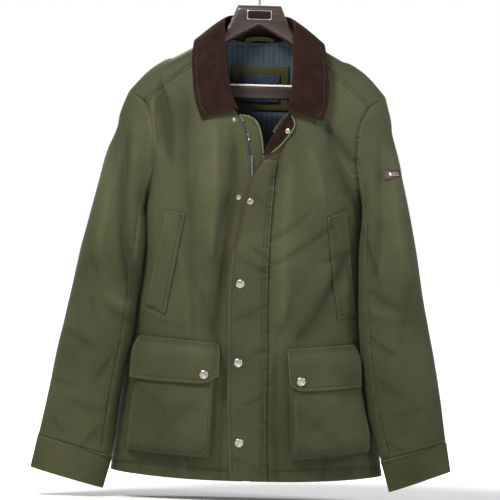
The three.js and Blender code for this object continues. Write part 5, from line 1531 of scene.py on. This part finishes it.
@dataclass
class Closure:
    """The zip, the wind guard behind it, the storm flap over it, and the snaps."""

    tapes: tuple[Cloth, ...] = field(default_factory=lambda: tuple(
        Cloth(f"zip_tape_{side}", TAPE, "navy_tape", (16, 640), (f"front_{side}",), 2) for side in ("right", "left")))
    guard: Cloth = field(default_factory=lambda: Cloth(
        "wind_guard", WAXED, "waxed_cotton", (62, 170), ("front_right",), 3))
    flap: Cloth = field(default_factory=lambda: Cloth(
        "storm_flap", WAXED, "waxed_cotton", (80, 580), ("front_left",), 3))
    facing: Cloth = field(default_factory=lambda: Cloth(
        "flap_facing", CORD, "corduroy", (48, 130), ("front_left",), 3))
    snap_profile: tuple[Point2, ...] = (
        (0.0, -0.4), (6.9, -0.4), (7.4, 0.0), (7.7, 0.5), (7.6, 1.1), (7.1, 1.8), (6.3, 2.35), (5.5, 2.5), (4.8, 2.4),
        (4.5, 2.0), (4.4, 1.5), (4.2, 1.25), (2.6, 1.35), (0.0, 1.45))
    stud_profile: tuple[Point2, ...] = (
        (0.0, -0.3), (7.0, -0.3), (7.6, 0.2), (7.4, 0.9), (5.0, 1.1), (3.6, 1.3), (3.2, 2.4), (3.5, 3.0), (3.0, 3.6),
        (1.6, 3.9), (0.0, 4.0))

    def build(self, frame: dict[str, Any]) -> None:
        """Grows the cloth, sets the teeth and pipes the edges."""
        for piece in (*self.tapes, self.guard, self.flap, self.facing):
            piece.grow(frame)
            if piece is self.facing:
                self.mark_wales(piece.thing)
            piece.declare()
        self.teeth()
        self.sew()

    @staticmethod
    def mark_wales(thing: bpy.types.Object) -> None:
        """Wales along the facing, by the distance across it."""
        spots = coordinates(thing.data) / MM
        keep_value(thing.data, "wale", spots[:, 0] * 0.74 - spots[:, 2] * 0.67)

    def teeth(self) -> None:
        """Two rows of zip teeth on the tapes' inner edges."""
        rows = {"right": (1.5, [(-31.8, 189.5), (-25.2, 200), (-15.6, 226), (-9.4, 252), (-7.4, 275), (-6.6, 303)]),
                "left": (-2.2, [(50.8, 190.5), (44.2, 200), (27.6, 226), (16.4, 252), (11.0, 266)])}
        for side, tape in zip(("right", "left"), self.tapes):
            shift, line = rows[side]
            runs = [[(spot + Vector((shift, -0.8, 0)) * MM, normal) for spot, normal in run]
                    for run in Finder(tape.thing).line(line)]
            made = RowOfBeads.along(f"zip_teeth_{side}", runs, Bead.BLOCK, NICKEL, 2.6, (1.9, 3.8, 1.5), 0.03, 5)
            if made:
                finish_piece(made, "nickel")

    def sew(self) -> None:
        """Stitches the flap and the guard, and lays the piping."""
        flap = Finder(self.flap.thing)
        NEEDLE.sew("flap_seam_stitch", flap.line(flap_line(4.0, True, 296.0)) + flap.line(flap_line(10.5, True, 300.0)))
        NEEDLE.sew("flap_edge_stitch", flap.line(flap_line(5.0, False, 300.0)))
        guard = Finder(self.guard.thing)
        NEEDLE.sew("guard_stitch", guard.line([(-26, 196), (-10, 199), (-1, 208), (4, 222), (9, 246), (10, 280)]))
        pipe = [hit[0] + hit[1] * 0.4 * MM for hit in sum(guard.line(
            [(-28, 191.5), (-9, 194.6), (1.5, 204), (7.6, 221), (12.4, 246), (14, 270)]), [])]
        if len(pipe) > 2:
            finish_piece(tube("guard_piping", pipe[::2], 1.1, PIPING), "waxed_cotton")
        facing = Finder(self.facing.thing)
        rim = [(59.3, 191.6), (66, 203), (64, 213), (56.2, 225), (42.2, 243), (24.6, 257)]
        pipe = [hit[0] + hit[1] * 0.4 * MM for hit in sum(facing.line(rim, rounds=2), [])]
        if len(pipe) > 2:
            finish_piece(tube("facing_piping", pipe[::2], 1.15, PIPING), "waxed_cotton")
        edge = [hit[0] + hit[1] * 0.2 * MM for hit in sum(flap.line(
            [(x + 0.6, d) for x, d in flap_line(0.0, False, 270.0, 430.0)]), [])]
        if len(edge) > 2:
            finish_piece(tube("flap_piping", edge[::2], 1.25, PIPING_BROWN), "corduroy")

    def snaps(self, carriers: dict[str, tuple[bpy.types.Object, float, bool]]) -> None:
        """Sets each snap square to the cloth that carries it.

        Args:
            carriers: for each snap's node, the piece it sits on, its size and whether it is a cap.
        """
        for node, (piece, size, cap) in carriers.items():
            low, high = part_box(node)
            middle = (low + high) / 2
            finder = Finder(piece)
            hit = finder.seen(middle.x / MM, -(middle.z / MM + HOOK_RISE))
            if hit is None:
                log.warning("%s: no cloth under it", node)
                continue
            spot, normal = hit
            profile = self.snap_profile if cap else self.stud_profile
            made = lathed(f"{node}_turned", [(r * size, h * size) for r, h in profile], spot, normal, NICKEL)
            finish_piece(made, "nickel", node)


@dataclass
class Pockets:
    """Bellows pockets with their flaps and snaps, and the slanted hand pockets' welts above them."""

    bags: tuple[Cloth, ...] = field(default_factory=lambda: tuple(
        Cloth(f"pocket_bag_{side}", WAXED, "waxed_cotton", (230, 240), (f"front_{side}",), 3, keep=70.0)
        for side in ("right", "left")))
    flaps: tuple[Cloth, ...] = field(default_factory=lambda: tuple(
        Cloth(f"pocket_flap_{side}", WAXED, "waxed_cotton", (160, 92), (f"front_{side}",), 3)
        for side in ("right", "left")))
    welts: tuple[Cloth, ...] = field(default_factory=lambda: tuple(
        Cloth(f"welt_{side}", WAXED, "waxed_cotton", (40, 190), (f"front_{side}",), 3) for side in ("right", "left")))

    def build(self, frame: dict[str, Any]) -> None:
        """Grows the pieces and sews their edges."""
        for piece in (*self.bags, *self.flaps, *self.welts):
            piece.grow(frame)
            piece.declare()
        rows = {
            "right": (
                [(-188, 577.5), (-58, 587.0)], [(-188, 581.5), (-62, 590.5)],
                [(-61, 588), (-62, 634), (-75, 645.5), (-190, 640.5)],
                [(-69, 652), (-70, 717), (-71, 757), (-80, 772), (-151, 768), (-200, 763)],
                [(-148, 362), (-121, 367), (-148, 530), (-177, 519)], [(-126, 368), (-153, 526)]),
            "left": (
                [(65, 594), (173, 584.5)], [(69, 597.8), (173, 588.3)],
                [(67.5, 595), (72, 646), (84, 656), (174, 647.5)],
                [(75.5, 660), (79.5, 740), (84, 766), (92, 772), (141, 770), (196, 757)],
                [(155, 356), (129, 367.5), (151, 532), (174, 524)], [(134, 369), (156, 529)]),
        }
        for side, bag, flap, welt in zip(("right", "left"), self.bags, self.flaps, self.welts):
            top, second, edge, foot, rim, inner = rows[side]
            cover = Finder(flap.thing)
            NEEDLE.sew(f"pocket_flap_stitch_{side}", cover.line(top, rounds=0) + cover.line(second, rounds=0)
                       + cover.line(edge, rounds=1))
            NEEDLE.sew(f"pocket_bag_stitch_{side}", Finder(bag.thing).line(foot, rounds=2))
            over = Finder(welt.thing)
            NEEDLE.sew(f"welt_stitch_{side}", over.line(rim, rounds=0) + over.line(inner, rounds=0))


@dataclass
class NeckInside:
    """What the open neck shows of the back's inside."""

    lining: Cloth = field(default_factory=lambda: Cloth("lining", LINING, "lining_cotton", (140, 250), ("back",), 3))
    patch: Cloth = field(default_factory=lambda: Cloth("patch", WAXED, "waxed_cotton", (104, 82), ("lining",), 3))
    label: Cloth = field(default_factory=lambda: Cloth("label", LABEL, "navy_tape", (74, 52), ("patch",), 3))
    band: tuple[float, float, float] = (64.0, 58.0, 88.0)  # half width, top and foot of the lining's neck band
    loop: Cloth = field(default_factory=lambda: Cloth(
        "hanging_loop", WAXED, "waxed_cotton", (90, 12), ("back",), 2, Drape.STILL))

    def neck_band(self, back: bpy.types.Object) -> None:
        """The lining's band at the neck, laid on the back's inner face."""
        finder = Finder(back)
        half, top, foot = self.band
        xs, drops = np.arange(-half, half + 1, 4.0), np.arange(top, foot + 1, 2.5)
        shape = bmesh.new()
        found: dict[tuple[int, int], tuple[Any, Any]] = {}
        for i, j in product(range(len(xs)), range(len(drops))):
            hit = finder.seen(float(xs[i]), float(drops[j]))
            if hit and hit[0].y > 0.012:
                found[i, j] = tuple(shape.verts.new(hit[0] + hit[1] * off * MM) for off in (1.15, 0.3))
        edges: dict[tuple[Any, Any], tuple[Any, Any]] = {}
        for i, j in product(range(len(xs) - 1), range(len(drops) - 1)):
            ring = [(i, j), (i, j + 1), (i + 1, j + 1), (i + 1, j)]
            if all(spot in found for spot in ring):
                shape.faces.new([found[spot][0] for spot in ring])
                shape.faces.new([found[spot][1] for spot in reversed(ring)])
                for one, two in zip(ring, ring[1:] + ring[:1]):
                    if edges.pop((two, one), None) is None:
                        edges[one, two] = (one, two)
        for one, two in edges:
            shape.faces.new([found[two][0], found[one][0], found[one][1], found[two][1]])
        bmesh.ops.delete(shape, geom=[v for v in shape.verts if not v.link_faces], context="VERTS")
        bmesh.ops.recalc_face_normals(shape, faces=shape.faces)
        mesh = bpy.data.meshes.new("neck_band")
        shape.to_mesh(mesh)
        shape.free()
        mesh.shade_smooth()
        mesh.set_sharp_from_angle(angle=math.radians(48))
        thing = finish_piece(new_object("neck_band", mesh, LINING), "lining_cotton")
        area = half_surface(mesh)

    def build(self, frame: dict[str, Any], back: bpy.types.Object) -> None:
        """Grows the pieces, gathers the lining's top and sews the patch and label."""
        self.lining.grow(frame)
        self.gather(self.lining.thing)
        self.lining.declare()
        self.neck_band(back)
        for piece in (self.patch, self.label, self.loop):
            piece.grow(frame)
            piece.declare()
        patch, label = Finder(self.patch.thing), Finder(self.label.thing)
        NEEDLE.sew("patch_stitch", patch.line([(-43, 104), (52, 104), (52, 175), (-43, 175), (-43, 104)], rounds=0))
        NEEDLE.sew("label_stitch", label.line([(-29.5, 117.5), (37.5, 117.5), (37.5, 161.5), (-29.5, 161.5),
                                               (-29.5, 117.5)], rounds=0), "navy_tape", THREAD, 2.6)

    @staticmethod
    def gather(thing: bpy.types.Object) -> None:
        """Small pleats where the lining is sewn in at the neck."""
        spots = coordinates(thing.data)
        drop = -(spots[:, 2] / MM + HOOK_RISE)
        x = spots[:, 0] / MM
        fade = np.exp(-np.clip(drop - 69.0, 0, None) / 26.0)
        spots[:, 1] -= fade * 1.1 * np.sin(x / 2.9 + 1.2 * np.sin(x / 11.0)) * MM
        thing.data.vertices.foreach_set("co", spots.astype(np.float32).ravel())
        thing.data.update()


@dataclass
class Hanger:
    """The wooden hanger with its bar, strip, plate and hook."""

    ridge: float = 4.0

    def build(self, frame: dict[str, Any]) -> None:
        """Rounds the wood, sets the strip's beads and frames the plate."""
        body = self.smooth_copy(frame, "hanger", WOOD, 2, 26.0)
        finish_piece(body, "dark_wood", "hanger")
        bar = softened(frame, "hanger_bar", WOOD, 0.8, 2)
        finish_piece(bar, "dark_wood", "hanger_bar")
        hook = self.smooth_copy(frame, "hanger_hook", NICKEL, 2, 60.0)
        finish_piece(hook, "nickel", "hanger_hook")
        strip = softened(frame, "bar_strip", STRIP, 0.4, 2)
        finish_piece(strip, "strip_plastic", "bar_strip")
        low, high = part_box("bar_strip")
        y = low.y
        z = (low.z + high.z) / 2
        run = [(Vector((x * MM, y, z)), Vector((0, -1, 0))) for x in np.arange(low.x / MM + 3, high.x / MM - 3, 2.0)]
        beads = RowOfBeads.along("strip_ribs", [run], Bead.STITCH, STRIP, self.ridge, (2.4, 3.4, 2.7), 0.02, 3, 0.4)
        if beads:
            finish_piece(beads, "strip_plastic")
        self.plate(frame)

    @staticmethod
    def smooth_copy(frame: dict[str, Any], node: str, finish: Finish, levels: int, keep: float) -> bpy.types.Object:
        """A finer copy of a solid, with the edges sharper than an angle kept."""
        copy = Cloth(node, finish, "", (1, 1), (), levels, Drape.STILL, keep=keep)
        thing = copy.grow(frame)
        thing.name = node + "_finished"
        return thing

    @staticmethod
    def plate(frame: dict[str, Any]) -> None:
        """A bare plate in a raised frame."""
        low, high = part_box("hanger_plate")
        wide, tall = (high.x - low.x) / 2, (high.z - low.z) / 2
        middle = (low + high) / 2
        shape = bmesh.new()
        rings = []
        for inset, depth in ((0.0, high.y), (0.0, low.y + 0.0003), (0.0004, low.y), (0.0016, low.y),
                             (0.0021, low.y + 0.0006), (0.004, low.y + 0.0007)):
            ring = []
            for k in range(32):
                angle = 2 * math.pi * (k + 0.5) / 32
                c, s = math.cos(angle), math.sin(angle)
                x = math.copysign(abs(c) ** 0.22, c) * (wide - inset)
                z = math.copysign(abs(s) ** 0.22, s) * (tall - inset)
                ring.append(shape.verts.new((middle.x + x, depth, middle.z + z)))
            rings.append(ring)
        for one, two in zip(rings, rings[1:]):
            for k in range(32):
                shape.faces.new((one[k], one[(k + 1) % 32], two[(k + 1) % 32], two[k]))
        shape.faces.new(rings[0])
        shape.faces.new(rings[-1])
        bmesh.ops.recalc_face_normals(shape, faces=shape.faces)
        mesh = bpy.data.meshes.new("hanger_plate_framed")
        shape.to_mesh(mesh)
        shape.free()
        mesh.shade_smooth()
        mesh.set_sharp_from_angle(angle=math.radians(35))
        keep_value(mesh, "field", np.array([float(k >= 4 * 32) for k in range(len(mesh.vertices))]))
        finish_piece(new_object("hanger_plate_framed", mesh, NICKEL), "nickel", "hanger_plate")


@dataclass
class Studio:
    """The white sweep, the lights and the camera."""

    distance: float = 8000.0  # from the lens to the hanger
    match_depth: float = 35.0  # the depth in front of the hanger that fills the frame exactly
    span: float = 859.7  # the frame's width there
    floor_drop: float = 852.0
    floor_reach: float = 60.0
    lean: float = math.radians(1.5)
    fill: float = 0.26

    def build(self) -> None:
        """Makes the stage, lights it and sets the view."""
        self.sweep()
        self.lights()
        self.camera()

    def sweep(self) -> None:
        """A round floor of white paper."""
        floor = -(HOOK_RISE + self.floor_drop) * MM
        turns = [2 * math.pi * k / 96 for k in range(96)]
        verts = [(self.floor_reach * math.cos(t), self.floor_reach * math.sin(t), floor) for t in turns]
        faces = [tuple(range(96))]
        mesh = bpy.data.meshes.new("paper_floor")
        mesh.from_pydata(verts, [], faces)
        mesh.shade_smooth()
        new_object("paper_floor", mesh, PAPER)

    @staticmethod
    def lamp(name: str, spot: Point2 | tuple[float, float, float], aim: tuple[float, float, float], size: float,
             power: float, colour: str = "#ffffff") -> None:
        """A square soft light that points at a place."""
        data = bpy.data.lights.new(name, "AREA")
        data.shape = "SQUARE"
        data.size = size
        data.energy = power
        data.color = linear(colour)[:3]
        lamp = bpy.data.objects.new(name, data)
        bpy.context.scene.collection.objects.link(lamp)
        lamp.location = spot
        lamp.rotation_euler = (Vector(aim) - Vector(spot)).to_track_quat("-Z", "Y").to_euler()

    def lights(self) -> None:
        """A soft key high in front, a weaker one at the side, and a white surround."""
        self.lamp("key", (-0.75, -1.15, 1.05), (0.0, 0.0, -0.55), 0.5, 46.0, "#fffaf0")
        self.lamp("rear", (-0.7, 1.9, 0.9), (0.0, 0.0, -0.5), 0.8, 30.0)
        self.lamp("side", (1.7, -0.8, 0.6), (0.0, 0.0, -0.5), 0.45, 15.0, "#fbfcff")
        world = bpy.data.worlds.new("surround")
        world.use_nodes = True
        world.node_tree.nodes.clear()
        tree = world.node_tree
        seen = add_node(tree, "ShaderNodeLightPath").outputs["Is Camera Ray"]
        level = add_node(tree, "ShaderNodeMapRange", links={"Value": seen, 3: self.fill, 4: 1.0})
        light = add_node(tree, "ShaderNodeBackground", links={"Color": grey(1.0), "Strength": level.outputs[0]})
        add_node(tree, "ShaderNodeOutputWorld", links={0: light.outputs[0]})
        bpy.context.scene.world = world
        bpy.context.scene.view_settings.view_transform = "Standard"

    def camera(self) -> None:
        """The photograph's view, square on and turned a little."""
        data = bpy.data.cameras.new("view")
        data.sensor_width = 36.0
        data.lens = 36.0 * (self.distance - self.match_depth) / (self.span)
        camera = bpy.data.objects.new("view", data)
        bpy.context.scene.collection.objects.link(camera)
        c, s = math.cos(self.lean), math.sin(self.lean)
        turn = Matrix(((c, -s, 0.0), (0.0, 0.0, -1.0), (s, c, 0.0))).to_4x4()
        camera.matrix_world = Matrix.Translation(Vector((-5.6, -self.distance, -482.6)) * MM) @ turn
        bpy.context.scene.camera = camera


def main() -> None:
    """Builds the jacket's parts in order."""
    logging.basicConfig(level=logging.INFO, format="%(message)s")
    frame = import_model()
    Studio().build()
    body, sleeves, closure, pockets = Body(), Sleeves(), Closure(), Pockets()
    body.build(frame)
    sleeves.build(frame)
    Badge().build(frame, sleeves.parts[2].thing)
    Collar().build(frame)
    closure.build(frame)
    pockets.build(frame)
    NeckInside().build(frame, body.back.thing)
    Hanger().build(frame)
    flap, right = closure.flap.thing, body.fronts[0].thing
    closure.snaps({
        "snap_1": (flap, 0.72, True), "snap_2": (flap, 1.0, True), "snap_3": (flap, 1.0, True),
        "snap_4": (flap, 1.0, True), "snap_stud_top": (right, 0.45, False), "snap_stud": (right, 0.6, False),
        "snap_socket": (closure.facing.thing, 0.6, True),
        "snap_pocket_right": (pockets.flaps[0].thing, 1.0, True),
        "snap_pocket_left": (pockets.flaps[1].thing, 1.0, True)})
    slider = softened(frame, "zip_slider", NICKEL, 0.4, 2)
    finish_piece(slider, "nickel", "zip_slider")


if __name__ == "__main__":
    main()
